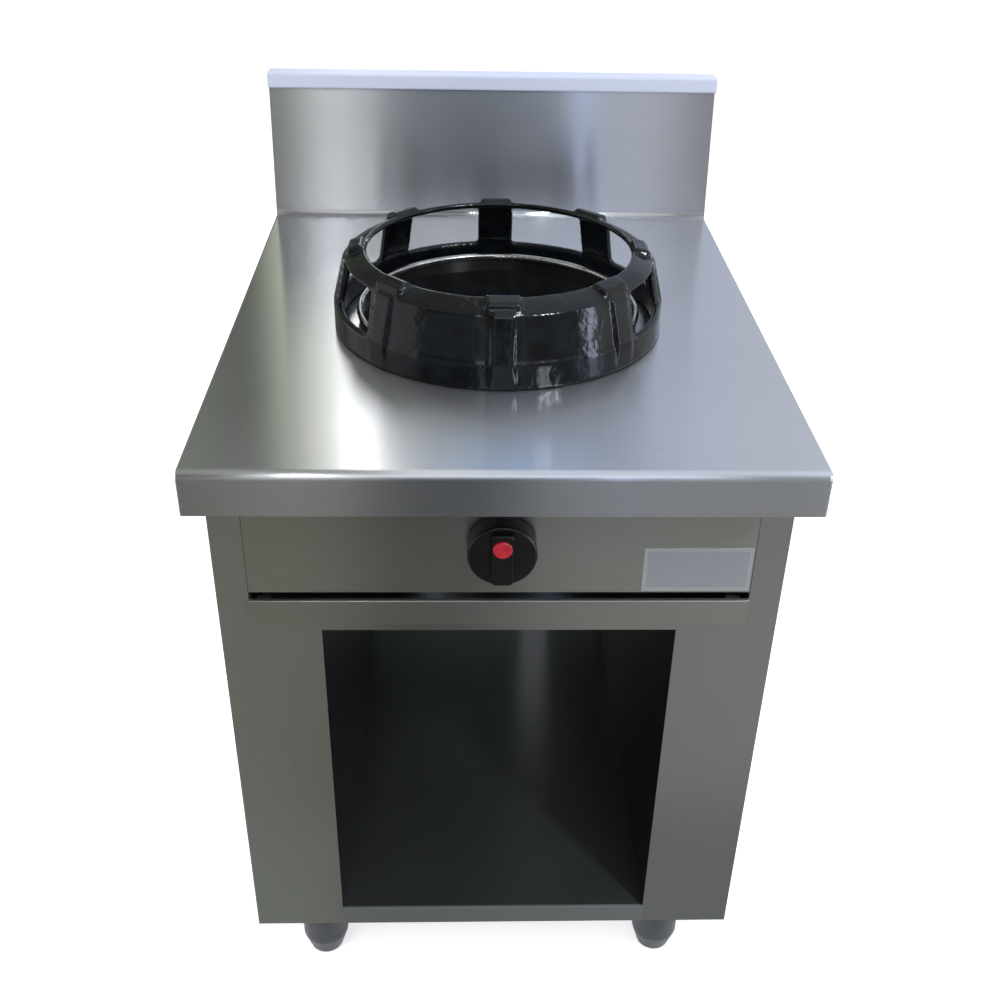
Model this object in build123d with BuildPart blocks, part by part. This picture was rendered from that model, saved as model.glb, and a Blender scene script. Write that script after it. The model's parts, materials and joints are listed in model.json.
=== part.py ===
"""Free-standing wok range: one ring burner, an open shelf below, a lift-off wok ring on top.

Millimetres. X runs to the right, Y to the back, Z up; the cook stands on the -Y side.
The origin is on the floor, under the middle of the outline seen from above.
"""
from build123d import *
from math import atan2, cos, radians, sin
import os

os.makedirs("parts", exist_ok=True)

# ---------------------------------------------------------------- driving dimensions
# Overall
TOP_WIDTH = 600.0            # worktop, left to right
TOP_DEPTH = 710.0            # front lip to the foot of the backsplash
SPLASH_DEPTH = 40.0          # backsplash at its foot, front to back
SPLASH_HEIGHT = 187.0        # above the worktop
TOP_HEIGHT = 850.0           # cooking height of the worktop
FRONT_OVERHANG = 85.0        # front lip ahead of the body
REAR_SPACE = 40.0            # body ahead of the backsplash's back, for the gas pipe

# Sheet and fits
TOP_SHEET = 2.0              # worktop and backsplash
BODY_SHEET = 1.2             # panels, liners, tray
SEAM = 0.5                   # open seam between two panels that meet in one plane
LOOSE = 0.3                  # gap between a piece and another that it moves against
SHAFT_FIT = 0.05             # radial clearance of a shaft in its bore

# Worktop
LIP_HEIGHT = 46.0
LIP_RADIUS = 8.0             # bright rounded front edge
SIDE_RADIUS = 2.5
LIP_RETURN = 18.0            # inward fold at the foot of the front lip
STIFFENER_WIDTH = 60.0
STIFFENER_HEIGHT = 25.0
STIFFENER_SHEET = 1.5

# Backsplash and screws
SPLASH_LEAN = 20.0           # the face leans back this far on its way up
SPLASH_LIP = 10.0            # lip along the top, ahead of the face
SPLASH_LIP_HEIGHT = 19.0
COVER_FOLD = 10.0
COVER_RECESS = 4.0           # rear cover, in from the back
SCREW_RADIUS = 2.0
SCREW_HEAD_RADIUS = 4.0
SCREW_HEAD_HEIGHT = 2.2
SCREW_LENGTH = 8.0
SCREW_EDGE = 25.0            # screws from the cover's edges

# Burner opening and wok ring
RING_FROM_LIP = 350.0        # centre of the burner, behind the front lip
COLLAR_STEP = 30.0           # bore of the upstand, in from the ring's foot
UPSTAND = 12.0               # upstand above the worktop
BEAD_HEIGHT = 8.0            # rolled bead on the upstand
BEAD_WIDTH = 7.0
RING_BASE_RADIUS = 186.0
RING_HEIGHT = 88.0
MOUTH_STEP = 39.0            # ring's mouth, in from its foot
CROWN_STEP = 25.5            # middle of its sloping crown, in from its foot
NECK_STEP = 14.0             # where the wall turns into the crown, in from its foot
NECK_DROP = 11.0             # that turn, below the mouth
CROWN_THICK = 7.0            # crown at the mouth
RING_WALL = 9.0
SHOULDER_HEIGHT = 28.0       # top of the solid base band of the ring
SHOULDER_STEP = 2.0          # how far the wall stands in above that band
WINDOW_TOP = 75.0
POST_COUNT = 8
POST_WIDTH = 43.0
RIB_WIDTH = 24.0
RIB_PROUD = 2.0
LUG_WIDTH = 36.0
LUG_HEIGHT = 4.0
CLOSED_BAYS = (5, 6)         # bays between posts that stay closed, at the front

# Burner bowl
BOWL_SHEET = 1.5
BOWL_FLANGE = 20.0
BOWL_DEPTH = 85.0
BOWL_WALL = 34.0             # straight wall under the flange, above the curve
BOWL_INSET = 2.0             # bowl's mouth, inside the upstand
BOWL_AIR_GAP = 40.0          # air gap between the burner's cup and the bowl's lower edge
BOWL_SCREWS = 6

# Body, shelf and base
FOOT_HEIGHT = 133.0          # clear height under the body
UPRIGHT_WIDTH = 110.0        # beside the shelf
POST_FACE_WIDTH = 36.0       # beside the control panel
FLOOR_FOLD = 27.0            # height of the shelf floor's front fold
SHELF_DROP = 245.0           # shelf's ceiling, below the worktop
HEADER_HEIGHT = 13.0
BASE_RAIL_WIDTH = 64.0
PANEL_RETURN = 15.0
VENT_COUNT = 7
VENT_LENGTH = 50.0
VENT_WIDTH = 6.0
INLET_HOLE_RADIUS = 11.65    # round the gas pipe, through the back panel
REAR_SCREW_EDGE = 38.0       # screws of the back panel from the sheets above or below them

# Control panel and knob
PANEL_DROP = 195.0           # lower edge of the panel, below the worktop
KNOB_DROP = 131.0            # knob, valve and burner tube, below the worktop
KNOB_RADIUS = 35.5
KNOB_TRAVEL = 3.5            # push
KNOB_REST_GAP = 1.5          # left between knob and panel when it is pushed home
KNOB_BARREL = 23.0           # depth of the knob without its grip bar
KNOB_WALL = 4.0
KNOB_EDGE_RADIUS = 3.0
GRIP_WIDTH = 22.0
GRIP_HEIGHT = 60.0
GRIP_PROUD = 8.0
GRIP_CORNER = 4.0
GRIP_EDGE_RADIUS = 1.5
MARKER_RADIUS = 9.9
MARKER_HEIGHT = 4.5
MARKER_OFFSET = 14.0         # marker above the knob's axis
SPINDLE_RADIUS = 4.0
SPINDLE_FLAT = 3.0           # flat of the spindle, from its axis
SLEEVE_RADIUS = 6.0
SLEEVE_LENGTH = 20.0
SPRING_LENGTH = 11.0
SPRING_WIRE = 0.96           # diameter
SPRING_TURNS = 4
HUB_RADIUS = 9.0
PLATE_WIDTH = 114.0
PLATE_HEIGHT = 54.0
PLATE_THICK = 0.5
PLATE_FROM_EDGE = 59.0       # middle of the plate, in from the panel's right edge
PLATE_LIFT = 29.0            # middle of the plate, above the panel's lower edge

# Drip tray
FINGER_GAP = 8.0             # slot between the tray's front and the control panel
TRAY_FRONT_HEIGHT = 31.0
TRAY_PROUD = 5.0             # tray front ahead of the body
TRAY_CORNER = 9.0
TRAY_EDGE_RADIUS = 1.1       # bright edge along the top of the tray's front
TRAY_PAN_INSET = 21.0        # side of the pan, in from the edge of the control panel
TRAY_PAN_LENGTH = 480.0
TRAY_PAN_DEPTH = 21.0
TRAY_RIM = 10.0
TRAY_SHEET = 1.0
TRAY_LIFT = 1.0              # tray's floor above the header
RUNNER_SHEET = 1.5
RUNNER_GAP = 3.0             # runner's web beyond the tray's rim

# Legs
LEG_RADIUS = 30.0
LEG_WALL = 4.0
LEG_FROM_SIDE = 74.0         # leg centre from the worktop's side
LEG_INSET = 80.0             # leg centre from the body's front and back
LEG_WEB_HEIGHT = 50.0        # web that holds the foot's stem, above the leg's lower end
LEG_WEB_THICK = 12.0
FOOT_CUP_HEIGHT = 37.5
FOOT_TIP_RADIUS = 22.0
FOOT_STEM_RADIUS = 8.0
FOOT_PLATE = 3.0

# Gas train
PIPE_RADIUS = 10.65
PIPE_BORE = 8.0
THREAD_RADIUS = 10.48
THREAD_LENGTH = 30.0
THREAD_RECESS = 2.0          # pipe's end, ahead of the backsplash's back
PIPE_FROM_SIDE = 120.0       # pipe, in from the worktop's right side
PIPE_BEND = 36.0
LOCKNUT_RADIUS = 18.0        # to its corners
LOCKNUT_THICK = 8.0
CLAMP_LENGTH = 24.0
CLAMP_WALL = 6.0
VALVE_WIDTH = 44.0
VALVE_DEPTH = 45.0
VALVE_CORNER = 6.0
MAGNET_RADIUS = 7.0
MAGNET_LENGTH = 18.0
NECK_RADIUS = 8.5
NUT_THICK = 2.0
NUT_RADIUS = 12.75           # to the corners of the gland nut
FEED_RADIUS = 6.0
FEED_BORE = 5.0
HOLDER_RADIUS = 10.8         # to the corners of the injector's holder
HOLDER_LENGTH = 14.0
INJECTOR_RADIUS = 4.8
INJECTOR_BORE = 1.1
INJECTOR_NOSE = 1.5
INJECTOR_BEHIND = 11.2       # injector's back, ahead of the mixer's mouth
INJECTOR_INSIDE = 4.0        # injector's nose, inside the mixer's mouth
SHUTTER_PORT = 5.0           # radius of the shutter's air holes
SHUTTER_PORTS = 4
CUP_RADIUS = 60.0
CUP_WALL = 6.0
CUP_LIFT = 29.0              # underside of the cup, above the mixer tube's axis
CUP_HEIGHT = 42.0
CAP_RADIUS = 64.0
CAP_HEIGHT = 16.0
CAP_SPIGOT = 8.0             # of the cap, down into the cup
CAP_EDGE_RADIUS = 5.0
CAP_SLOTS = 24
FLAME_SLOT_WIDTH = 2.5
FLAME_SLOT_HEIGHT = 6.0
FLAME_SLOT_LIFT = 3.0        # slots above the cap's underside
MIXER_RADIUS = 19.0
MIXER_SEAT = 3.0             # mixer tube, above its support
MIXER_BORE = 14.0
MIXER_MOUTH_RADIUS = 26.0
MIXER_BEHIND = 90.0          # mixer's mouth, behind the body's front
MIXER_TAPER = 30.0           # length of the mouth's taper
SUPPORT_WIDTH = 40.0
SUPPORT_HEIGHT = 18.0

# Pilot and flame safety
PILOT_X = -59.0              # just outside the cup's base
THERMO_X = -43.0
PILOT_AHEAD = 57.0           # pilot and thermocouple, ahead of the burner's axis
PILOT_RADIUS = 6.0
PILOT_SHANK = 8.0
PILOT_BELOW_CUP = 4.0
PILOT_TUBE_RADIUS = 2.0
PILOT_TUBE_BEND = 10.0
THERMO_RADIUS = 3.0
THERMO_SHANK = 10.0
THERMO_ABOVE_CUP = 2.0
LEAD_RADIUS = 1.5
LEAD_BEND = 8.0
LEAD_RUN = 40.0
LEAD_X = -75.0
BRACKET_X = -52.0
BRACKET_SHEET = 1.5
BRACKET_EDGE = 3.0
BRACKET_REACH = 10.0
BRACKET_FOOT = 14.0

# ---------------------------------------------------------------- places worked out from them
DEPTH = TOP_DEPTH + SPLASH_DEPTH
Y_BACK = DEPTH / 2
Y_LIP = -Y_BACK
Y_SPLASH = Y_BACK - SPLASH_DEPTH
Y_FACE_TOP = Y_SPLASH + SPLASH_LEAN
Y_SPLASH_LIP = Y_FACE_TOP - SPLASH_LIP
Y_BODY = Y_LIP + FRONT_OVERHANG
Y_PANEL_BACK = Y_BODY + BODY_SHEET
Y_REAR = Y_BACK - REAR_SPACE
Y_REAR_INNER = Y_REAR - BODY_SHEET
Z_UNDER_TOP = TOP_HEIGHT - TOP_SHEET
SHELF_HEIGHT = FOOT_HEIGHT + FLOOR_FOLD
SHELF_TOP = TOP_HEIGHT - SHELF_DROP
HEADER_TOP = SHELF_TOP + HEADER_HEIGHT
PANEL_BOTTOM = TOP_HEIGHT - PANEL_DROP
TRAY_FRONT_TOP = PANEL_BOTTOM - FINGER_GAP
KNOB_HEIGHT = TOP_HEIGHT - KNOB_DROP
CUP_BOTTOM = KNOB_HEIGHT + CUP_LIFT
CUP_TOP = CUP_BOTTOM + CUP_HEIGHT
Z_BASE = FOOT_HEIGHT
X_BODY = TOP_WIDTH / 2 - TOP_SHEET - SEAM
X_BODY_INNER = X_BODY - BODY_SHEET
X_SHELF = TOP_WIDTH / 2 - UPRIGHT_WIDTH
X_PANEL = TOP_WIDTH / 2 - POST_FACE_WIDTH
LEG_X = TOP_WIDTH / 2 - LEG_FROM_SIDE
PIPE_X = TOP_WIDTH / 2 - PIPE_FROM_SIDE
PLATE_X = X_PANEL - PLATE_FROM_EDGE
PLATE_Z = PANEL_BOTTOM + PLATE_LIFT
REAR_SCREW_X = X_SHELF + PANEL_RETURN
RING_Y = Y_LIP + RING_FROM_LIP
MIXER_MOUTH_Y = Y_BODY + MIXER_BEHIND
HOLE_RADIUS = RING_BASE_RADIUS - COLLAR_STEP
RING_MOUTH_RADIUS = RING_BASE_RADIUS - MOUTH_STEP
BOWL_MOUTH_RADIUS = HOLE_RADIUS - BOWL_INSET
BOWL_BASE_RADIUS = CUP_RADIUS + BOWL_AIR_GAP
Z_FLOOR_UNDER = SHELF_HEIGHT - BODY_SHEET
Z_CEILING_TOP = SHELF_TOP + BODY_SHEET
Z_BEAD = TOP_HEIGHT + UPSTAND
Z_SPLASH = TOP_HEIGHT + SPLASH_HEIGHT
Z_SPLASH_LIP = Z_SPLASH - SPLASH_LIP_HEIGHT
Z_SUPPORT = KNOB_HEIGHT - MIXER_RADIUS - MIXER_SEAT
RING_Z = TOP_HEIGHT + LOOSE
Y_VALVE_FRONT = Y_PANEL_BACK
Y_VALVE_BACK = Y_VALVE_FRONT + VALVE_DEPTH
Y_NECK = Y_BODY - NUT_THICK - SEAM
Y_KNOB = Y_BODY - KNOB_TRAVEL - KNOB_REST_GAP
SIDES = ((-1, "left"), (1, "right"))
LEG_YS = ((Y_BODY + LEG_INSET, "front"), (Y_REAR - LEG_INSET, "rear"))
BURNER_AXIS = Axis((0, RING_Y, 0), (0, 0, 1))
# local x is the radius from the burner's axis, local y the height
BURNER_PLANE = Plane(origin=(0, RING_Y, 0), x_dir=(1, 0, 0), z_dir=(0, -1, 0))


# ---------------------------------------------------------------- helpers
def slab(x, y, z, mode=Mode.ADD):
    """Add or cut a box given by its low and high values along X, Y and Z."""
    middle = ((x[0] + x[1]) / 2, (y[0] + y[1]) / 2, (z[0] + z[1]) / 2)
    with Locations(middle):
        Box(abs(x[1] - x[0]), abs(y[1] - y[0]), abs(z[1] - z[0]), mode=mode)


def rod(x, z, y, radius, mode=Mode.ADD):
    """Add or cut a round rod along Y, between y[0] and y[1]."""
    with Locations(Location((x, (y[0] + y[1]) / 2, z), (90, 0, 0))):
        Cylinder(radius, abs(y[1] - y[0]), mode=mode)


def stud(x, y, z, radius, mode=Mode.ADD):
    """Add or cut an upright round rod, between z[0] and z[1]."""
    with Locations((x, y, (z[0] + z[1]) / 2)):
        Cylinder(radius, abs(z[1] - z[0]), mode=mode)


def mirrored(hand, near, far):
    """Low and high X of a span on the left (hand -1) or the right (hand 1)."""
    return tuple(sorted((hand * near, hand * far)))


def keep(piece, name):
    """Label a finished piece and write it."""
    piece.part.label = name
    export_step(piece.part, f"parts/{name}.step")


# ---------------------------------------------------------------- worktop
with BuildPart() as worktop:
    slab((-TOP_WIDTH / 2, TOP_WIDTH / 2), (Y_LIP, Y_BACK), (TOP_HEIGHT - LIP_HEIGHT, TOP_HEIGHT))
    top_edges = worktop.edges().group_by(Axis.Z)[-1]
    fillet(top_edges.sort_by(Axis.Y)[0], LIP_RADIUS)
    side_edges = worktop.edges().filter_by(Axis.Y).group_by(Axis.Z)[-1]
    fillet(side_edges, SIDE_RADIUS)
    under = worktop.faces().sort_by(Axis.Z)[0]
    offset(amount=-TOP_SHEET, openings=under)
    fold = (Y_LIP + TOP_SHEET / 2, Y_LIP + TOP_SHEET + LIP_RETURN)
    slab(
        (-TOP_WIDTH / 2 + TOP_SHEET / 2, TOP_WIDTH / 2 - TOP_SHEET / 2),
        fold,
        (TOP_HEIGHT - LIP_HEIGHT, TOP_HEIGHT - LIP_HEIGHT + TOP_SHEET),
    )
    stud(0, RING_Y, (Z_UNDER_TOP, Z_BEAD), HOLE_RADIUS + TOP_SHEET)
    stud(0, RING_Y, (Z_UNDER_TOP - TOP_SHEET, Z_BEAD), HOLE_RADIUS, Mode.SUBTRACT)
keep(worktop, "worktop")

with BuildPart() as collar_ring:
    with BuildSketch(BURNER_PLANE):
        with Locations((HOLE_RADIUS + TOP_SHEET / 2, Z_BEAD + BEAD_HEIGHT / 2)):
            RectangleRounded(BEAD_WIDTH, BEAD_HEIGHT, BEAD_WIDTH * 0.45)
    revolve(axis=BURNER_AXIS)
keep(collar_ring, "collar_ring")

STIFFENERS = (
    ("front_stiffener", Y_BODY - SEAM - STIFFENER_WIDTH, X_BODY),
    ("rear_stiffener", RING_Y + HOLE_RADIUS + BOWL_FLANGE + STIFFENER_SHEET, X_BODY_INNER),
)
for stiffener_name, stiffener_y, half_length in STIFFENERS:
    with BuildPart() as stiffener:
        span_y = (stiffener_y, stiffener_y + STIFFENER_WIDTH)
        slab((-half_length, half_length), span_y, (Z_UNDER_TOP - STIFFENER_HEIGHT, Z_UNDER_TOP))
        slab(
            (-half_length, half_length),
            (span_y[0] + STIFFENER_SHEET, span_y[1] - STIFFENER_SHEET),
            (Z_UNDER_TOP - STIFFENER_HEIGHT, Z_UNDER_TOP - STIFFENER_SHEET),
            Mode.SUBTRACT,
        )
    keep(stiffener, stiffener_name)

# ---------------------------------------------------------------- backsplash
def splash_outline(sheet):
    """Section of the backsplash seen from the side, moved in by sheet from its front and top."""
    return (
        (Y_SPLASH + sheet, TOP_HEIGHT),
        (Y_FACE_TOP + sheet, Z_SPLASH_LIP + sheet),
        (Y_SPLASH_LIP + sheet, Z_SPLASH_LIP + sheet),
        (Y_SPLASH_LIP + sheet, Z_SPLASH - sheet),
        (Y_BACK, Z_SPLASH - sheet),
        (Y_BACK, TOP_HEIGHT),
    )


with BuildPart() as backsplash:
    with BuildSketch(Plane.YZ):
        with BuildLine():
            Polyline(*splash_outline(0), close=True)
        make_face()
    extrude(amount=TOP_WIDTH / 2, both=True)
    # front edges of the lip, next behind the foot of the face
    lip_edges = backsplash.edges().filter_by(Axis.X).group_by(Axis.Y)[1]
    fillet(lip_edges, 1.5 * TOP_SHEET)
    with BuildSketch(Plane.YZ):
        with BuildLine():
            Polyline(*splash_outline(TOP_SHEET), close=True)
        make_face()
    extrude(amount=TOP_WIDTH / 2 - TOP_SHEET, both=True, mode=Mode.SUBTRACT)
keep(backsplash, "backsplash")

COVER_X = TOP_WIDTH / 2 - TOP_SHEET - LOOSE
COVER_Y = (Y_BACK - COVER_RECESS - BODY_SHEET, Y_BACK - COVER_RECESS)
COVER_Z = (TOP_HEIGHT, Z_SPLASH - TOP_SHEET - LOOSE)
COVER_SCREWS = [
    (screw_x, screw_z)
    for screw_x in (SCREW_EDGE - COVER_X, 0, COVER_X - SCREW_EDGE)
    for screw_z in (TOP_HEIGHT + SCREW_EDGE, Z_SPLASH - SCREW_EDGE)
]

with BuildPart() as backsplash_cover:
    slab((-COVER_X, COVER_X), COVER_Y, COVER_Z)
    # side folds against the ends of the backsplash
    for side in (-1, 1):
        fold_x = mirrored(side, COVER_X - BODY_SHEET, COVER_X)
        slab(fold_x, (COVER_Y[0] - COVER_FOLD, COVER_Y[1]), COVER_Z)
    for screw_x, screw_z in COVER_SCREWS:
        rod(screw_x, screw_z, COVER_Y, SCREW_RADIUS + SHAFT_FIT, Mode.SUBTRACT)
keep(backsplash_cover, "backsplash_cover")

with BuildPart() as cover_screws:
    for screw_x, screw_z in COVER_SCREWS:
        rod(screw_x, screw_z, (COVER_Y[1], COVER_Y[1] + SCREW_HEAD_HEIGHT), SCREW_HEAD_RADIUS)
        rod(screw_x, screw_z, (COVER_Y[1] - SCREW_LENGTH, COVER_Y[1]), SCREW_RADIUS)
keep(cover_screws, "cover_screws")

# ---------------------------------------------------------------- body sheets
for hand, side_name in SIDES:
    with BuildPart() as side_panel:
        side_x = mirrored(hand, X_BODY_INNER, X_BODY)
        slab(side_x, (Y_PANEL_BACK, Y_REAR), (Z_BASE, Z_UNDER_TOP))
    keep(side_panel, f"{side_name}_side_panel")

    with BuildPart() as front_upright:
        wide_x = mirrored(hand, X_SHELF, X_BODY)
        narrow_x = mirrored(hand, X_PANEL, X_BODY)
        slab(wide_x, (Y_BODY, Y_PANEL_BACK), (Z_BASE, HEADER_TOP))
        slab(narrow_x, (Y_BODY, Y_PANEL_BACK), (HEADER_TOP, Z_UNDER_TOP))
        # fold beside the control panel
        fold_x = mirrored(hand, X_PANEL, X_PANEL + BODY_SHEET)
        slab(fold_x, (Y_BODY, Y_BODY + PANEL_RETURN), (HEADER_TOP, Z_UNDER_TOP))
    keep(front_upright, f"{side_name}_front_upright")

    with BuildPart() as shelf_liner:
        liner_x = mirrored(hand, X_SHELF, X_SHELF + BODY_SHEET)
        slab(liner_x, (Y_PANEL_BACK, Y_REAR_INNER), (SHELF_HEIGHT, SHELF_TOP))
    keep(shelf_liner, f"{side_name}_shelf_liner")

    with BuildPart() as base_rail:
        rail_x = (hand * LEG_X - BASE_RAIL_WIDTH / 2, hand * LEG_X + BASE_RAIL_WIDTH / 2)
        slab(rail_x, (Y_PANEL_BACK, Y_REAR_INNER), (Z_BASE, Z_FLOOR_UNDER))
        slab(
            (rail_x[0] + STIFFENER_SHEET, rail_x[1] - STIFFENER_SHEET),
            (Y_PANEL_BACK, Y_REAR_INNER),
            (Z_BASE, Z_FLOOR_UNDER - STIFFENER_SHEET),
            Mode.SUBTRACT,
        )
    keep(base_rail, f"{side_name}_base_rail")

REAR_SCREWS = [
    (hand * REAR_SCREW_X, screw_z)
    for hand, side_name in SIDES
    for screw_z in (Z_BASE + REAR_SCREW_EDGE, SHELF_TOP - REAR_SCREW_EDGE, Z_UNDER_TOP - REAR_SCREW_EDGE)
]

with BuildPart() as back_panel:
    slab((-X_BODY_INNER, X_BODY_INNER), (Y_REAR_INNER, Y_REAR), (Z_BASE, Z_UNDER_TOP))
    rod(PIPE_X, KNOB_HEIGHT, (Y_REAR_INNER, Y_REAR), INLET_HOLE_RADIUS, Mode.SUBTRACT)
    for screw_x, screw_z in REAR_SCREWS:
        rod(screw_x, screw_z, (Y_REAR_INNER, Y_REAR), SCREW_RADIUS + SHAFT_FIT, Mode.SUBTRACT)
    with BuildSketch(Plane.XZ.offset(-Y_REAR)):
        with Locations((0, (PANEL_BOTTOM + Z_UNDER_TOP) / 2 + PANEL_RETURN)):
            with GridLocations(VENT_WIDTH * 3, 0, VENT_COUNT, 1):
                SlotOverall(VENT_LENGTH, VENT_WIDTH, rotation=90)
    extrude(amount=BODY_SHEET, mode=Mode.SUBTRACT)
keep(back_panel, "back_panel")

with BuildPart() as back_panel_screws:
    for screw_x, screw_z in REAR_SCREWS:
        rod(screw_x, screw_z, (Y_REAR, Y_REAR + SCREW_HEAD_HEIGHT), SCREW_HEAD_RADIUS)
        rod(screw_x, screw_z, (Y_REAR_INNER, Y_REAR), SCREW_RADIUS)
keep(back_panel_screws, "back_panel_screws")

with BuildPart() as shelf_floor:
    slab((-X_BODY_INNER, X_BODY_INNER), (Y_PANEL_BACK, Y_REAR_INNER), (Z_FLOOR_UNDER, SHELF_HEIGHT))
    # front fold, flush with the uprights
    fold_x = (-X_SHELF + SEAM / 2, X_SHELF - SEAM / 2)
    slab(fold_x, (Y_BODY, Y_PANEL_BACK), (Z_BASE, SHELF_HEIGHT))
    top_front = shelf_floor.edges().filter_by(Axis.X).group_by(Axis.Y)[0].sort_by(Axis.Z)[-1]
    fillet(top_front, BODY_SHEET * 0.8)
keep(shelf_floor, "shelf_floor")

with BuildPart() as shelf_ceiling:
    slab((-X_BODY_INNER, X_BODY_INNER), (Y_PANEL_BACK, Y_REAR_INNER), (SHELF_TOP, Z_CEILING_TOP))
    slab(fold_x, (Y_BODY, Y_PANEL_BACK), (SHELF_TOP, HEADER_TOP))
keep(shelf_ceiling, "shelf_ceiling")

# ---------------------------------------------------------------- control panel and plate
X_PANEL_EDGE = X_PANEL - SEAM

with BuildPart() as control_panel:
    panel_x = (-X_PANEL_EDGE, X_PANEL_EDGE)
    slab(panel_x, (Y_BODY, Y_BODY + PANEL_RETURN), (PANEL_BOTTOM, Z_UNDER_TOP))
    slab(
        (-X_PANEL_EDGE + BODY_SHEET, X_PANEL_EDGE - BODY_SHEET),
        (Y_PANEL_BACK, Y_BODY + PANEL_RETURN),
        (PANEL_BOTTOM + BODY_SHEET, Z_UNDER_TOP - BODY_SHEET),
        Mode.SUBTRACT,
    )
    rod(0, KNOB_HEIGHT, (Y_BODY, Y_PANEL_BACK), NECK_RADIUS + SEAM, Mode.SUBTRACT)
keep(control_panel, "control_panel")

with BuildPart() as rating_plate:
    plate_x = (PLATE_X - PLATE_WIDTH / 2, PLATE_X + PLATE_WIDTH / 2)
    plate_z = (PLATE_Z - PLATE_HEIGHT / 2, PLATE_Z + PLATE_HEIGHT / 2)
    slab(plate_x, (Y_BODY - PLATE_THICK, Y_BODY), plate_z)
keep(rating_plate, "rating_plate")

# ---------------------------------------------------------------- gas valve and knob
SLEEVE_BORE = SLEEVE_RADIUS + SHAFT_FIT
SPINDLE_BORE = SPINDLE_RADIUS + SHAFT_FIT
SLEEVE_FRONT = Y_NECK + SEAM
SLEEVE_BACK = SLEEVE_FRONT + SLEEVE_LENGTH
BORE_BOTTOM = SLEEVE_BACK + SPRING_LENGTH
Y_MAGNET = Y_VALVE_FRONT + VALVE_DEPTH / 4

with BuildPart() as gas_valve:
    with Locations((0, (Y_VALVE_FRONT + Y_VALVE_BACK) / 2, KNOB_HEIGHT)):
        Box(VALVE_WIDTH, VALVE_DEPTH, VALVE_WIDTH)
    fillet(gas_valve.edges().filter_by(Axis.Y), VALVE_CORNER)
    rod(0, KNOB_HEIGHT, (Y_NECK, Y_VALVE_FRONT), NECK_RADIUS)
    rod(0, KNOB_HEIGHT, (Y_NECK, BORE_BOTTOM), SLEEVE_BORE, Mode.SUBTRACT)
keep(gas_valve, "gas_valve")

with BuildPart() as magnet_unit:
    with Locations(Location((-VALVE_WIDTH / 2 - MAGNET_LENGTH / 2, Y_MAGNET, KNOB_HEIGHT), (0, 90, 0))):
        Cylinder(MAGNET_RADIUS, MAGNET_LENGTH)
keep(magnet_unit, "magnet_unit")

with BuildPart() as gland_nut:
    with BuildSketch(Plane.XZ.offset(-Y_BODY)):
        with Locations((0, KNOB_HEIGHT)):
            RegularPolygon(NUT_RADIUS, 6)
            Circle(NECK_RADIUS + SHAFT_FIT, mode=Mode.SUBTRACT)
    extrude(amount=NUT_THICK)
keep(gland_nut, "gland_nut")

with BuildPart() as push_sleeve:
    rod(0, KNOB_HEIGHT, (SLEEVE_FRONT, SLEEVE_BACK), SLEEVE_RADIUS)
    rod(0, KNOB_HEIGHT, (SLEEVE_FRONT, SLEEVE_BACK), SPINDLE_BORE, Mode.SUBTRACT)
keep(push_sleeve, "push_sleeve")

# the coil's middle line stops short of both ends, so that its wire just stays between them
SPRING_END = SPRING_WIRE * 0.75
SPRING_COIL = SPRING_LENGTH - 2 * SPRING_END
with BuildPart() as valve_spring:
    spring_start = Location((0, BORE_BOTTOM - SPRING_END, KNOB_HEIGHT), (90, 0, 0))
    spring_radius = SLEEVE_RADIUS - SPRING_WIRE * 0.8
    spring_path = spring_start * Helix(SPRING_COIL / SPRING_TURNS, SPRING_COIL, spring_radius)
    with BuildSketch(Plane(origin=spring_path @ 0, z_dir=spring_path % 0)):
        Circle(SPRING_WIRE / 2)
    sweep(path=spring_path)
keep(valve_spring, "valve_spring")

SPINDLE_Y = (Y_KNOB - KNOB_BARREL + KNOB_WALL, SLEEVE_BACK + SEAM)
HUB_BACK = Y_NECK - KNOB_TRAVEL - KNOB_REST_GAP

with BuildPart() as valve_spindle:
    rod(0, KNOB_HEIGHT, SPINDLE_Y, SPINDLE_RADIUS)
    flat_z = (KNOB_HEIGHT + SPINDLE_FLAT, KNOB_HEIGHT + SPINDLE_RADIUS)
    slab((-SPINDLE_RADIUS, SPINDLE_RADIUS), (SPINDLE_Y[0], HUB_BACK), flat_z, Mode.SUBTRACT)
keep(valve_spindle, "valve_spindle")

Y_KNOB_FRONT = Y_KNOB - KNOB_BARREL
Y_GRIP = Y_KNOB_FRONT - GRIP_PROUD
Z_MARKER = KNOB_HEIGHT + MARKER_OFFSET

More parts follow.
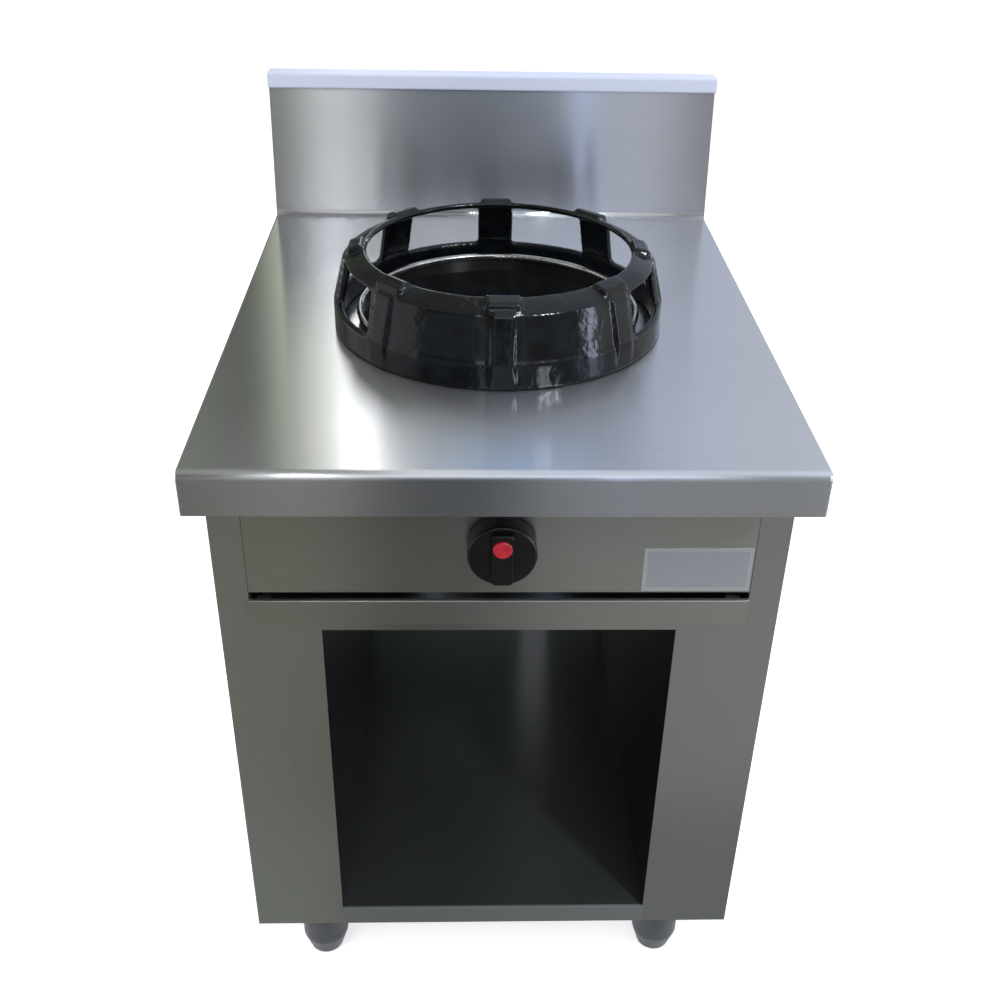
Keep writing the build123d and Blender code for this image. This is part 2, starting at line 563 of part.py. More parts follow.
with BuildPart() as knob:
    rod(0, KNOB_HEIGHT, (Y_KNOB_FRONT, Y_KNOB), KNOB_RADIUS)
    fillet(knob.edges().group_by(Axis.Y)[0], KNOB_EDGE_RADIUS)
    with BuildSketch(Plane.XZ.offset(-Y_KNOB_FRONT)):
        with Locations((0, KNOB_HEIGHT)):
            RectangleRounded(GRIP_WIDTH, GRIP_HEIGHT, GRIP_CORNER)
    extrude(amount=GRIP_PROUD)
    fillet(knob.edges().group_by(Axis.Y)[0], GRIP_EDGE_RADIUS)
    # hollow back with a hub in it
    rod(0, KNOB_HEIGHT, (Y_KNOB_FRONT + KNOB_WALL, Y_KNOB), KNOB_RADIUS - KNOB_WALL, Mode.SUBTRACT)
    rod(0, KNOB_HEIGHT, (Y_KNOB_FRONT + KNOB_WALL, HUB_BACK), HUB_RADIUS)
    with BuildSketch(Plane.XZ.offset(-HUB_BACK)):
        with Locations((0, KNOB_HEIGHT)):
            Circle(SPINDLE_BORE)
        with Locations((0, KNOB_HEIGHT + SPINDLE_FLAT + SHAFT_FIT + SPINDLE_RADIUS)):
            Rectangle(4 * SPINDLE_RADIUS, 2 * SPINDLE_RADIUS, mode=Mode.SUBTRACT)
    extrude(amount=HUB_BACK - SPINDLE_Y[0], mode=Mode.SUBTRACT)
    rod(0, Z_MARKER, (Y_GRIP, Y_GRIP + MARKER_HEIGHT / 2), MARKER_RADIUS + SHAFT_FIT, Mode.SUBTRACT)
keep(knob, "knob")

with BuildPart() as knob_marker:
    rod(0, Z_MARKER, (Y_GRIP - MARKER_HEIGHT / 2, Y_GRIP + MARKER_HEIGHT / 2), MARKER_RADIUS)
    fillet(knob_marker.edges().group_by(Axis.Y)[0], MARKER_HEIGHT / 2)
keep(knob_marker, "knob_marker")

# ---------------------------------------------------------------- gas pipe and burner
Y_INLET = Y_BACK - THREAD_RECESS
THREAD_Y = (Y_INLET - THREAD_LENGTH, Y_INLET)
Y_GAS_PORT = (Y_VALVE_FRONT + Y_VALVE_BACK) / 2 + SEAM

with BuildPart() as gas_inlet_pipe:
    with BuildLine() as inlet_path:
        FilletPolyline(
            (PIPE_X, THREAD_Y[0], KNOB_HEIGHT),
            (PIPE_X, Y_GAS_PORT, KNOB_HEIGHT),
            (VALVE_WIDTH / 2, Y_GAS_PORT, KNOB_HEIGHT),
            radius=PIPE_BEND,
        )
    with BuildSketch(Plane(origin=inlet_path.line @ 0, z_dir=inlet_path.line % 0)):
        Circle(PIPE_RADIUS)
        Circle(PIPE_BORE, mode=Mode.SUBTRACT)
    sweep(path=inlet_path.line)
    rod(PIPE_X, KNOB_HEIGHT, THREAD_Y, THREAD_RADIUS)
    rod(PIPE_X, KNOB_HEIGHT, THREAD_Y, PIPE_BORE, Mode.SUBTRACT)
keep(gas_inlet_pipe, "gas_inlet_pipe")

with BuildPart() as inlet_locknut:
    with BuildSketch(Plane.XZ.offset(-Y_REAR)):
        with Locations((PIPE_X, KNOB_HEIGHT)):
            RegularPolygon(LOCKNUT_RADIUS, 6)
            Circle(PIPE_RADIUS + SHAFT_FIT, mode=Mode.SUBTRACT)
    extrude(amount=-LOCKNUT_THICK)
keep(inlet_locknut, "inlet_locknut")

INJECTOR_Y = (MIXER_MOUTH_Y - INJECTOR_BEHIND, MIXER_MOUTH_Y + INJECTOR_INSIDE)
HOLDER_Y = (INJECTOR_Y[0] - HOLDER_LENGTH, INJECTOR_Y[0])

with BuildPart() as burner_feed_pipe:
    rod(0, KNOB_HEIGHT, (Y_VALVE_BACK, HOLDER_Y[0]), FEED_RADIUS)
    rod(0, KNOB_HEIGHT, (Y_VALVE_BACK, HOLDER_Y[0]), FEED_BORE, Mode.SUBTRACT)
keep(burner_feed_pipe, "burner_feed_pipe")

with BuildPart() as injector_holder:
    with BuildSketch(Plane.XZ.offset(-HOLDER_Y[0])):
        with Locations((0, KNOB_HEIGHT)):
            RegularPolygon(HOLDER_RADIUS, 6)
            Circle(INJECTOR_BORE * 2, mode=Mode.SUBTRACT)
    extrude(amount=HOLDER_Y[0] - HOLDER_Y[1])
keep(injector_holder, "injector_holder")

with BuildPart() as injector:
    rod(0, KNOB_HEIGHT, INJECTOR_Y, INJECTOR_RADIUS)
    chamfer(injector.edges().group_by(Axis.Y)[-1], INJECTOR_NOSE)
    rod(0, KNOB_HEIGHT, INJECTOR_Y, INJECTOR_BORE, Mode.SUBTRACT)
keep(injector, "injector")

with BuildPart() as air_shutter:
    shutter_y = (MIXER_MOUTH_Y - BODY_SHEET, MIXER_MOUTH_Y)
    rod(0, KNOB_HEIGHT, shutter_y, MIXER_MOUTH_RADIUS)
    rod(0, KNOB_HEIGHT, shutter_y, INJECTOR_RADIUS + LOOSE, Mode.SUBTRACT)
    with BuildSketch(Plane.XZ.offset(-shutter_y[1])):
        with Locations((0, KNOB_HEIGHT)):
            with PolarLocations(MIXER_MOUTH_RADIUS * 0.55, SHUTTER_PORTS, start_angle=45):
                Circle(SHUTTER_PORT)
    extrude(amount=BODY_SHEET, mode=Mode.SUBTRACT)
keep(air_shutter, "air_shutter")

with BuildPart() as burner_casting:
    stud(0, RING_Y, (CUP_BOTTOM, CUP_TOP), CUP_RADIUS)
    chamfer(burner_casting.edges().group_by(Axis.Z)[0], CUP_WALL)
    stud(0, RING_Y, (Z_SUPPORT, CUP_BOTTOM + CUP_WALL / 2), MIXER_RADIUS + CUP_WALL)
    rod(0, KNOB_HEIGHT, (MIXER_MOUTH_Y, RING_Y), MIXER_RADIUS)
    with BuildSketch(Plane.XZ.offset(-MIXER_MOUTH_Y)) as mouth:
        with Locations((0, KNOB_HEIGHT)):
            Circle(MIXER_MOUTH_RADIUS)
    with BuildSketch(Plane.XZ.offset(-MIXER_MOUTH_Y - MIXER_TAPER)) as throat:
        with Locations((0, KNOB_HEIGHT)):
            Circle(MIXER_RADIUS)
    loft(sections=[mouth.sketch, throat.sketch])
    stud(0, RING_Y, (CUP_BOTTOM + CUP_WALL, CUP_TOP), CUP_RADIUS - CUP_WALL, Mode.SUBTRACT)
    elbow_z = (KNOB_HEIGHT - MIXER_BORE, CUP_BOTTOM + 1.5 * CUP_WALL)
    stud(0, RING_Y, elbow_z, MIXER_RADIUS, Mode.SUBTRACT)
    rod(0, KNOB_HEIGHT, (MIXER_MOUTH_Y, RING_Y), MIXER_BORE, Mode.SUBTRACT)
keep(burner_casting, "burner_casting")

Z_CAP = CUP_TOP + LOOSE
CHAMBER_RADIUS = CUP_RADIUS - 2 * CUP_WALL
CHAMBER_Z = (CUP_TOP - CAP_SPIGOT, CUP_TOP + CAP_HEIGHT - CUP_WALL)

with BuildPart() as burner_cap:
    stud(0, RING_Y, (Z_CAP, Z_CAP + CAP_HEIGHT), CAP_RADIUS)
    fillet(burner_cap.edges().group_by(Axis.Z)[-1], CAP_EDGE_RADIUS)
    stud(0, RING_Y, (CUP_TOP - CAP_SPIGOT, Z_CAP), CUP_RADIUS - CUP_WALL - LOOSE)
    # gas chamber under the lid, and the flame slots round it
    stud(0, RING_Y, CHAMBER_Z, CHAMBER_RADIUS, Mode.SUBTRACT)
    with BuildSketch(Plane.XY.offset(Z_CAP + FLAME_SLOT_LIFT)):
        with Locations((0, RING_Y)):
            with PolarLocations(CAP_RADIUS, CAP_SLOTS):
                Rectangle(2 * (CAP_RADIUS - CHAMBER_RADIUS + FLAME_SLOT_WIDTH), FLAME_SLOT_WIDTH)
    extrude(amount=FLAME_SLOT_HEIGHT, mode=Mode.SUBTRACT)
keep(burner_cap, "burner_cap")

SUPPORT_Y = (RING_Y - SUPPORT_WIDTH / 2, RING_Y + SUPPORT_WIDTH / 2)
with BuildPart() as burner_support:
    support_x = (-X_BODY_INNER, X_BODY_INNER)
    slab(support_x, SUPPORT_Y, (Z_SUPPORT - SUPPORT_HEIGHT, Z_SUPPORT))
    slab(
        support_x,
        (SUPPORT_Y[0] + TOP_SHEET, SUPPORT_Y[1] - TOP_SHEET),
        (Z_SUPPORT - SUPPORT_HEIGHT, Z_SUPPORT - TOP_SHEET),
        Mode.SUBTRACT,
    )
keep(burner_support, "burner_support")

with BuildPart() as pipe_clamp:
    clamp_x = (PIPE_X - PIPE_RADIUS - CLAMP_WALL, PIPE_X + PIPE_RADIUS + CLAMP_WALL)
    clamp_y = (RING_Y - CLAMP_LENGTH / 2, RING_Y + CLAMP_LENGTH / 2)
    slab(clamp_x, clamp_y, (Z_SUPPORT, KNOB_HEIGHT))
    rod(PIPE_X, KNOB_HEIGHT, clamp_y, PIPE_RADIUS + SHAFT_FIT, Mode.SUBTRACT)
keep(pipe_clamp, "pipe_clamp")

# ---------------------------------------------------------------- burner bowl
BOWL_TOP = Z_UNDER_TOP
BOWL_BASE = BOWL_TOP - BOWL_DEPTH
BOWL_SCREW_RADIUS = BOWL_MOUTH_RADIUS + BOWL_FLANGE * 0.55


def bowl_arc(thickness):
    """Top, middle and foot of the curve under the bowl's straight wall, set out by a thickness."""
    across = BOWL_MOUTH_RADIUS - BOWL_BASE_RADIUS
    down = BOWL_DEPTH - BOWL_WALL
    bend = (across**2 + down**2) / (2 * across)
    turn = 2 * atan2(across, down)
    return [
        (
            BOWL_MOUTH_RADIUS - bend + (bend + thickness) * cos(angle),
            BOWL_BASE + down - (bend + thickness) * sin(angle),
        )
        for angle in (0, turn / 2, turn)
    ]


with BuildPart() as burner_bowl:
    with BuildSketch(BURNER_PLANE):
        with BuildLine():
            inner_top, inner_bulge, inner_base = bowl_arc(0)
            outer_top, outer_bulge, outer_base = bowl_arc(BOWL_SHEET)
            ThreePointArc(inner_top, inner_bulge, inner_base)
            Line(inner_base, outer_base)
            ThreePointArc(outer_base, outer_bulge, outer_top)
            Polyline(
                outer_top,
                (BOWL_MOUTH_RADIUS + BOWL_SHEET, BOWL_TOP - BOWL_SHEET),
                (BOWL_MOUTH_RADIUS + BOWL_FLANGE, BOWL_TOP - BOWL_SHEET),
                (BOWL_MOUTH_RADIUS + BOWL_FLANGE, BOWL_TOP),
                (BOWL_MOUTH_RADIUS, BOWL_TOP),
                inner_top,
            )
        make_face()
    revolve(axis=BURNER_AXIS)
    with BuildSketch(Plane.XY.offset(BOWL_TOP)):
        with Locations((0, RING_Y)):
            with PolarLocations(BOWL_SCREW_RADIUS, BOWL_SCREWS, start_angle=30):
                Circle(SCREW_RADIUS + SHAFT_FIT)
    extrude(amount=-BOWL_SHEET, mode=Mode.SUBTRACT)
keep(burner_bowl, "burner_bowl")

with BuildPart() as bowl_screws:
    with BuildSketch(Plane.XY.offset(BOWL_TOP)):
        with Locations((0, RING_Y)):
            with PolarLocations(BOWL_SCREW_RADIUS, BOWL_SCREWS, start_angle=30):
                Circle(SCREW_RADIUS)
    extrude(amount=-BOWL_SHEET)
    with BuildSketch(Plane.XY.offset(BOWL_TOP - BOWL_SHEET)):
        with Locations((0, RING_Y)):
            with PolarLocations(BOWL_SCREW_RADIUS, BOWL_SCREWS, start_angle=30):
                Circle(SCREW_HEAD_RADIUS)
    extrude(amount=-SCREW_HEAD_HEIGHT)
keep(bowl_screws, "bowl_screws")

# ---------------------------------------------------------------- pilot and flame safety
PILOT_Y = RING_Y - PILOT_AHEAD
BRACKET_TOP = CUP_BOTTOM - CUP_WALL
PILOT_TUBE_Z = KNOB_HEIGHT - VALVE_WIDTH / 4
Y_PILOT_PORT = Y_VALVE_BACK - VALVE_DEPTH / 3
Z_PILOT_SHANK = BRACKET_TOP - PILOT_SHANK
Z_THERMO_SHANK = BRACKET_TOP - THERMO_SHANK

with BuildPart() as pilot_bracket:
    shelf_x = (PILOT_X - PILOT_RADIUS - BRACKET_EDGE, THERMO_X + THERMO_RADIUS + BRACKET_EDGE)
    shelf_y = (PILOT_Y - BRACKET_REACH, PILOT_Y + BRACKET_REACH)
    foot_x = (BRACKET_X - BRACKET_FOOT, BRACKET_X + BRACKET_SHEET)
    web_x = (BRACKET_X, BRACKET_X + BRACKET_SHEET)
    slab(web_x, (shelf_y[0], RING_Y), (Z_SUPPORT, BRACKET_TOP))
    slab(foot_x, (SUPPORT_Y[0], RING_Y), (Z_SUPPORT, Z_SUPPORT + BRACKET_SHEET))
    slab(shelf_x, shelf_y, (BRACKET_TOP - BRACKET_SHEET, BRACKET_TOP))
    stud(PILOT_X, PILOT_Y, (Z_SUPPORT, BRACKET_TOP), PILOT_RADIUS * 0.7 + SHAFT_FIT, Mode.SUBTRACT)
    stud(THERMO_X, PILOT_Y, (Z_SUPPORT, BRACKET_TOP), THERMO_RADIUS + SHAFT_FIT, Mode.SUBTRACT)
keep(pilot_bracket, "pilot_bracket")

with BuildPart() as pilot_burner:
    stud(PILOT_X, PILOT_Y, (BRACKET_TOP, CUP_TOP - PILOT_BELOW_CUP), PILOT_RADIUS)
    fillet(pilot_burner.edges().group_by(Axis.Z)[-1], PILOT_RADIUS / 3)
    stud(PILOT_X, PILOT_Y, (Z_PILOT_SHANK, BRACKET_TOP), PILOT_RADIUS * 0.7)
keep(pilot_burner, "pilot_burner")

with BuildPart() as thermocouple:
    stud(THERMO_X, PILOT_Y, (Z_THERMO_SHANK, CUP_TOP + THERMO_ABOVE_CUP), THERMO_RADIUS)
    fillet(thermocouple.edges().group_by(Axis.Z)[-1], THERMO_RADIUS * 0.8)
keep(thermocouple, "thermocouple")


def add_tube(points, radius, bend):
    """Sweep a round wire or tube along straight runs joined by arcs of the same bend radius."""
    with BuildLine(mode=Mode.PRIVATE) as route:
        FilletPolyline(*points, radius=bend)
    with BuildSketch(Plane(origin=route.line @ 0, z_dir=route.line % 0), mode=Mode.PRIVATE) as section:
        Circle(radius)
    sweep(sections=section.sketch, path=route.line)


with BuildPart() as pilot_tube:
    pilot_route = (
        (PILOT_X, PILOT_Y, Z_PILOT_SHANK),
        (PILOT_X, PILOT_Y, PILOT_TUBE_Z),
        (PILOT_X, Y_PILOT_PORT, PILOT_TUBE_Z),
        (-VALVE_WIDTH / 2, Y_PILOT_PORT, PILOT_TUBE_Z),
    )
    add_tube(pilot_route, PILOT_TUBE_RADIUS, PILOT_TUBE_BEND)
keep(pilot_tube, "pilot_tube")

with BuildPart() as thermocouple_lead:
    lead_route = (
        (THERMO_X, PILOT_Y, Z_THERMO_SHANK),
        (THERMO_X, PILOT_Y, KNOB_HEIGHT),
        (THERMO_X, PILOT_Y - LEAD_RUN, KNOB_HEIGHT),
        (LEAD_X, PILOT_Y - 2 * LEAD_RUN, KNOB_HEIGHT),
        (LEAD_X, Y_MAGNET, KNOB_HEIGHT),
        (-VALVE_WIDTH / 2 - MAGNET_LENGTH, Y_MAGNET, KNOB_HEIGHT),
    )
    add_tube(lead_route, LEAD_RADIUS, LEAD_BEND)
keep(thermocouple_lead, "thermocouple_lead")

# ---------------------------------------------------------------- wok ring
BAY = 360.0 / POST_COUNT


def ring_wall(inset):
    """Points of the casting's wall from its foot to its mouth, moved in by inset."""
    return (
        (RING_BASE_RADIUS - inset, 0),
        (RING_BASE_RADIUS - SHOULDER_STEP - inset, SHOULDER_HEIGHT),
        (RING_BASE_RADIUS - 2.2 * SHOULDER_STEP - inset, SHOULDER_HEIGHT + 2.0),
        (RING_BASE_RADIUS - NECK_STEP - inset * 0.95, RING_HEIGHT - NECK_DROP),
    )


with BuildPart() as wok_ring:
    with BuildSketch(BURNER_PLANE):
        with BuildLine():
            outer = ring_wall(0)
            inner = ring_wall(RING_WALL)
            crown = (RING_BASE_RADIUS - CROWN_STEP, RING_HEIGHT - NECK_DROP * 0.4)
            mouth_top = (RING_MOUTH_RADIUS + 2.0, RING_HEIGHT)
            mouth_edge = (RING_MOUTH_RADIUS, RING_HEIGHT - 2.0)
            mouth_low = (RING_MOUTH_RADIUS, RING_HEIGHT - CROWN_THICK)
            Polyline(*outer)
            ThreePointArc(outer[3], crown, mouth_top)
            Polyline(mouth_top, mouth_edge, mouth_low, inner[3], inner[2], inner[1], inner[0], outer[0])
        make_face()
    revolve(axis=BURNER_AXIS)

    # windows between the posts, all but the closed bays at the front
    with BuildSketch(Plane.XY.offset(SHOULDER_HEIGHT)):
        apex = POST_WIDTH / 2 / sin(radians(BAY / 2))
        reach = RING_BASE_RADIUS * 1.2
        for bay in range(POST_COUNT):
            if bay in CLOSED_BAYS:
                continue
            bay_middle = BAY * (bay + 0.5)
            apex_point = (apex * cos(radians(bay_middle)), RING_Y + apex * sin(radians(bay_middle)))
            edge_points = [
                (
                    apex_point[0] + reach * cos(radians(angle)),
                    apex_point[1] + reach * sin(radians(angle)),
                )
                for angle in (bay_middle - BAY / 2, bay_middle + BAY / 2)
            ]
            with BuildLine():
                Polyline(apex_point, *edge_points, close=True)
            make_face()
    extrude(amount=WINDOW_TOP - SHOULDER_HEIGHT, mode=Mode.SUBTRACT)

    # a rib down the outside of each post, and a lug over it on the rim
    for post in range(POST_COUNT):
        outward = Vector(cos(radians(BAY * post)), sin(radians(BAY * post)), 0)
        post_plane = Plane(
            origin=(0, RING_Y, 0), x_dir=outward, z_dir=outward.cross(Vector(0, 0, 1))
        )
        with BuildSketch(post_plane):
            with BuildLine():
                rib = [(radius + RIB_PROUD, height) for radius, height in outer[1:]]
                Polyline(
                    (RING_BASE_RADIUS - RING_WALL / 2, 0),
                    (RING_BASE_RADIUS, 0),
                    (RING_BASE_RADIUS + RIB_PROUD - SHOULDER_STEP, SHOULDER_HEIGHT),
                    rib[2],
                    (outer[3][0] - 4.0, RING_HEIGHT - NECK_DROP + 4.0),
                    (outer[3][0] - RING_WALL, RING_HEIGHT - NECK_DROP + 3.0),
                    (outer[1][0] - RING_WALL / 2, SHOULDER_HEIGHT),
                    close=True,
                )
            make_face()
        extrude(amount=RIB_WIDTH / 2, both=True)
        with BuildSketch(post_plane):
            with BuildLine():
                Polyline(
                    (RING_MOUTH_RADIUS + 3.0, RING_HEIGHT - 4.0),
                    (RING_MOUTH_RADIUS + 4.0, RING_HEIGHT + LUG_HEIGHT),
                    (outer[3][0] - 5.0, RING_HEIGHT),
                    (outer[3][0] - 3.0, RING_HEIGHT - NECK_DROP),
                    close=True,
                )
            make_face()
        extrude(amount=LUG_WIDTH / 2, both=True)
wok_ring.part = wok_ring.part.moved(Location((0, 0, RING_Z)))
keep(wok_ring, "wok_ring")

# ---------------------------------------------------------------- drip tray
TRAY_FLOOR = HEADER_TOP + TRAY_LIFT
TRAY_RIM_TOP = TRAY_FLOOR + TRAY_PAN_DEPTH
Y_TRAY_FRONT = Y_BODY - TRAY_PROUD
Y_PAN = Y_PANEL_BACK + LOOSE
X_PAN = X_PANEL - TRAY_PAN_INSET
X_RIM = X_PAN + TRAY_RIM
X_RUNNER = X_RIM + RUNNER_GAP

with BuildPart() as drip_tray_pan:
    pan_y = (Y_PAN, Y_PAN + TRAY_PAN_LENGTH)
    slab((-X_PAN, X_PAN), pan_y, (TRAY_FLOOR, TRAY_RIM_TOP))
    slab(
        (-X_PAN + TRAY_SHEET, X_PAN - TRAY_SHEET),
        (pan_y[0] + TRAY_SHEET, pan_y[1] - TRAY_SHEET),
        (TRAY_FLOOR + TRAY_SHEET, TRAY_RIM_TOP),
        Mode.SUBTRACT,
    )
    for side in (-1, 1):
        rim_x = mirrored(side, X_PAN - TRAY_SHEET, X_RIM)
        slab(rim_x, pan_y, (TRAY_RIM_TOP - TRAY_SHEET, TRAY_RIM_TOP))
    # neck between the pan and the tray's front
    neck_y = (Y_TRAY_FRONT + BODY_SHEET, Y_PAN + TRAY_SHEET)
    slab((-X_PAN, X_PAN), neck_y, (TRAY_RIM_TOP - TRAY_SHEET, TRAY_RIM_TOP))
keep(drip_tray_pan, "drip_tray_pan")

with BuildPart() as drip_tray_front:
    X_TRAY_FRONT = X_PANEL_EDGE
    front_z = (TRAY_FRONT_TOP - TRAY_FRONT_HEIGHT, TRAY_FRONT_TOP)
    slab((-X_TRAY_FRONT, X_TRAY_FRONT), (Y_TRAY_FRONT, Y_TRAY_FRONT + BODY_SHEET), front_z)
    low_corners = drip_tray_front.edges().filter_by(Axis.Y).group_by(Axis.Z)[0]
    fillet(low_corners, TRAY_CORNER)
    # top fold, the bright ledge under the finger gap
    slab(
        (-X_TRAY_FRONT, X_TRAY_FRONT),
        (Y_TRAY_FRONT, Y_BODY),
        (TRAY_FRONT_TOP - BODY_SHEET, TRAY_FRONT_TOP),
    )
    top_edges = drip_tray_front.edges().filter_by(Axis.X).group_by(Axis.Z)[-1]
    fillet(top_edges.sort_by(Axis.Y)[0], TRAY_EDGE_RADIUS)
keep(drip_tray_front, "drip_tray_front")

for hand, side_name in SIDES:
    with BuildPart() as tray_runner:
        runner_y = (Y_BODY + PANEL_RETURN + SEAM, Y_PAN + TRAY_PAN_LENGTH)
        web_x = mirrored(hand, X_RUNNER, X_RUNNER + RUNNER_SHEET)
        seat_top = TRAY_RIM_TOP - TRAY_SHEET - LOOSE
        slab(web_x, runner_y, (Z_CEILING_TOP, seat_top))
        seat_x = mirrored(hand, X_PAN + LOOSE, X_RUNNER + RUNNER_SHEET)
        slab(seat_x, runner_y, (seat_top - RUNNER_SHEET, seat_top))
        slab(seat_x, runner_y, (Z_CEILING_TOP, Z_CEILING_TOP + RUNNER_SHEET))
    keep(tray_runner, f"{side_name}_tray_runner")

# ---------------------------------------------------------------- legs and levelling feet
LEG_BOTTOM = FOOT_CUP_HEIGHT + SEAM
WEB_Z = (LEG_BOTTOM + LEG_WEB_HEIGHT, LEG_BOTTOM + LEG_WEB_HEIGHT + LEG_WEB_THICK)
STEM_TOP = WEB_Z[1] + LEG_WEB_THICK
FOOT_TAPER_TOP = FOOT_CUP_HEIGHT * 0.75

with BuildPart() as foot_plates:
    plate_side = BASE_RAIL_WIDTH - 2 * STIFFENER_SHEET
    for leg_y, row_name in LEG_YS:
        for hand, side_name in SIDES:
            with Locations((hand * LEG_X, leg_y, Z_BASE + FOOT_PLATE / 2)):
                Box(plate_side, plate_side, FOOT_PLATE)
keep(foot_plates, "foot_plates")

for leg_y, row_name in LEG_YS:
    for hand, side_name in SIDES:
        leg_x = hand * LEG_X
        corner_name = f"{row_name}_{side_name}"
        with BuildPart() as leg:
            stud(leg_x, leg_y, (LEG_BOTTOM, Z_BASE), LEG_RADIUS)
            stud(leg_x, leg_y, (LEG_BOTTOM, Z_BASE - LEG_WALL), LEG_RADIUS - LEG_WALL, Mode.SUBTRACT)
            stud(leg_x, leg_y, WEB_Z, LEG_RADIUS - LEG_WALL / 2)
            stud(leg_x, leg_y, WEB_Z, FOOT_STEM_RADIUS + SHAFT_FIT, Mode.SUBTRACT)
        keep(leg, f"{corner_name}_leg")

        foot_sketch_plane = Plane(origin=(leg_x, leg_y, 0), x_dir=(1, 0, 0), z_dir=(0, -1, 0))
        with BuildPart() as foot:
            with BuildSketch(foot_sketch_plane):
                with BuildLine():
                    Polyline(
                        (0, 0),
                        (FOOT_TIP_RADIUS - 1.5, 0),
                        (FOOT_TIP_RADIUS, 1.5),
                        (LEG_RADIUS, FOOT_TAPER_TOP),
                        (LEG_RADIUS, FOOT_CUP_HEIGHT),
                        (FOOT_STEM_RADIUS, FOOT_CUP_HEIGHT),
                        (FOOT_STEM_RADIUS, STEM_TOP),
                        (0, STEM_TOP),
                        close=True,
                    )
                make_face()
            revolve(axis=Axis((leg_x, leg_y, 0), (0, 0, 1)))
        keep(foot, f"{corner_name}_foot")
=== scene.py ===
# %% [markdown]
# # A wok range, dressed for its picture
# The frame holds every solid of the range in its real place, in metres: X to the right, Y to the back, Z
# up. This file adds only what a solid can't say: finishes, the softened edges of a casting, lamps, floor
# and camera. The box round the range is kept first.

# %% Load the frame
import json
import math

import bmesh
import bpy
from mathutils import Matrix, Vector


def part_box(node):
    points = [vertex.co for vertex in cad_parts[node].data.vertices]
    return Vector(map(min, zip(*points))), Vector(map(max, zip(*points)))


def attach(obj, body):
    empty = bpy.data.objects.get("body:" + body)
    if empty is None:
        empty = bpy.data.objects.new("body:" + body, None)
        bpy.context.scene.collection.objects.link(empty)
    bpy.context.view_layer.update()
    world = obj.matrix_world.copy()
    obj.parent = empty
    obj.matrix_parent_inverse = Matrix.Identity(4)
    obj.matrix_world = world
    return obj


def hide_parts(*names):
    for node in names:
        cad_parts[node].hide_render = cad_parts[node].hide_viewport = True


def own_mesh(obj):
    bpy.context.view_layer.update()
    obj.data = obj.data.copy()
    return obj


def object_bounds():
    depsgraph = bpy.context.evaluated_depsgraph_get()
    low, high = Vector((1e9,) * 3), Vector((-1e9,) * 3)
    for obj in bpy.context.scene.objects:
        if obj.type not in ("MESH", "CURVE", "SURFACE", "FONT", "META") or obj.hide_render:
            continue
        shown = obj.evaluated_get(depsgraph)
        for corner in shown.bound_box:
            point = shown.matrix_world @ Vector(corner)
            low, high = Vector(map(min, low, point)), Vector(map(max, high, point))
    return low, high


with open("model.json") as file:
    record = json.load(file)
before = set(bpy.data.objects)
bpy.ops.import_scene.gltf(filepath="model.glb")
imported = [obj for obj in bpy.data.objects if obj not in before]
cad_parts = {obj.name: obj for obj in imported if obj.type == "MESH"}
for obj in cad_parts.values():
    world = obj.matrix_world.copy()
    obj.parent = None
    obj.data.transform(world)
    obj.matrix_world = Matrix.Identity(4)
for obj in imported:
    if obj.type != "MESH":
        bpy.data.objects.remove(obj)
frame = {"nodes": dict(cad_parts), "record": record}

MM = 0.001
cad_low, cad_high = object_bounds()
cad_size = [round(v, 3) for v in cad_high - cad_low]
print("the frame has", len(frame["nodes"]), "nodes and is", cad_size, "m")

# %% [markdown]
# ## The camera
# The picture was taken by someone standing in front of the range and looking down on it, a little to its
# left. Where the camera stood was worked out from the straight edges of the worktop and the body, so it is
# written here as a place and three angles. The lens follows from the same sum, on a sensor 36 mm wide.

# %% Camera
CAMERA_PLACE = (-0.0404, -1.3133, 1.4079)
CAMERA_YAW = 0.036858        # radians, towards +X
CAMERA_PITCH = 0.557688      # down from the level
CAMERA_ROLL = 0.021581
SENSOR_WIDTH = 36.0
FOCAL_IN_WIDTHS = 1.205948   # focal length over the picture's width


def camera_matrix(place, yaw, pitch, roll):
    """Matrix of a camera that looks along +Y before it is turned by yaw, pitch and roll."""
    ahead = Vector((math.sin(yaw) * math.cos(pitch), math.cos(yaw) * math.cos(pitch), -math.sin(pitch)))
    level = Vector((math.cos(yaw), -math.sin(yaw), 0.0))
    above = level.cross(ahead)
    right = level * math.cos(roll) + above * math.sin(roll)
    up = above * math.cos(roll) - level * math.sin(roll)
    turned = Matrix((right, up, -ahead)).transposed().to_4x4()
    return Matrix.Translation(place) @ turned


camera_data = bpy.data.cameras.new("camera")
camera_data.sensor_width = SENSOR_WIDTH
camera_data.lens = FOCAL_IN_WIDTHS * SENSOR_WIDTH
camera = bpy.data.objects.new("camera", camera_data)
bpy.context.scene.collection.objects.link(camera)
camera.matrix_world = camera_matrix(CAMERA_PLACE, CAMERA_YAW, CAMERA_PITCH, CAMERA_ROLL)
bpy.context.scene.camera = camera
bpy.context.scene.view_settings.view_transform = "Standard"
print("camera lens", round(camera_data.lens, 2), "mm")

# %% [markdown]
# ## Two helpers for every finish
# A screen colour is written as six hex digits, but light adds up in linear numbers, so one function turns
# one into the other. A second function adds a node, sets it and links it, so a finish reads as a short
# list.

# %% Colour and node helpers
def linear(hex_colour):
    """Linear RGBA of an sRGB colour such as #8a8c88."""
    shares = [int(hex_colour[i : i + 2], 16) / 255 for i in (1, 3, 5)]
    return tuple(c / 12.92 if c <= 0.04045 else ((c + 0.055) / 1.055) ** 2.4 for c in shares) + (1.0,)


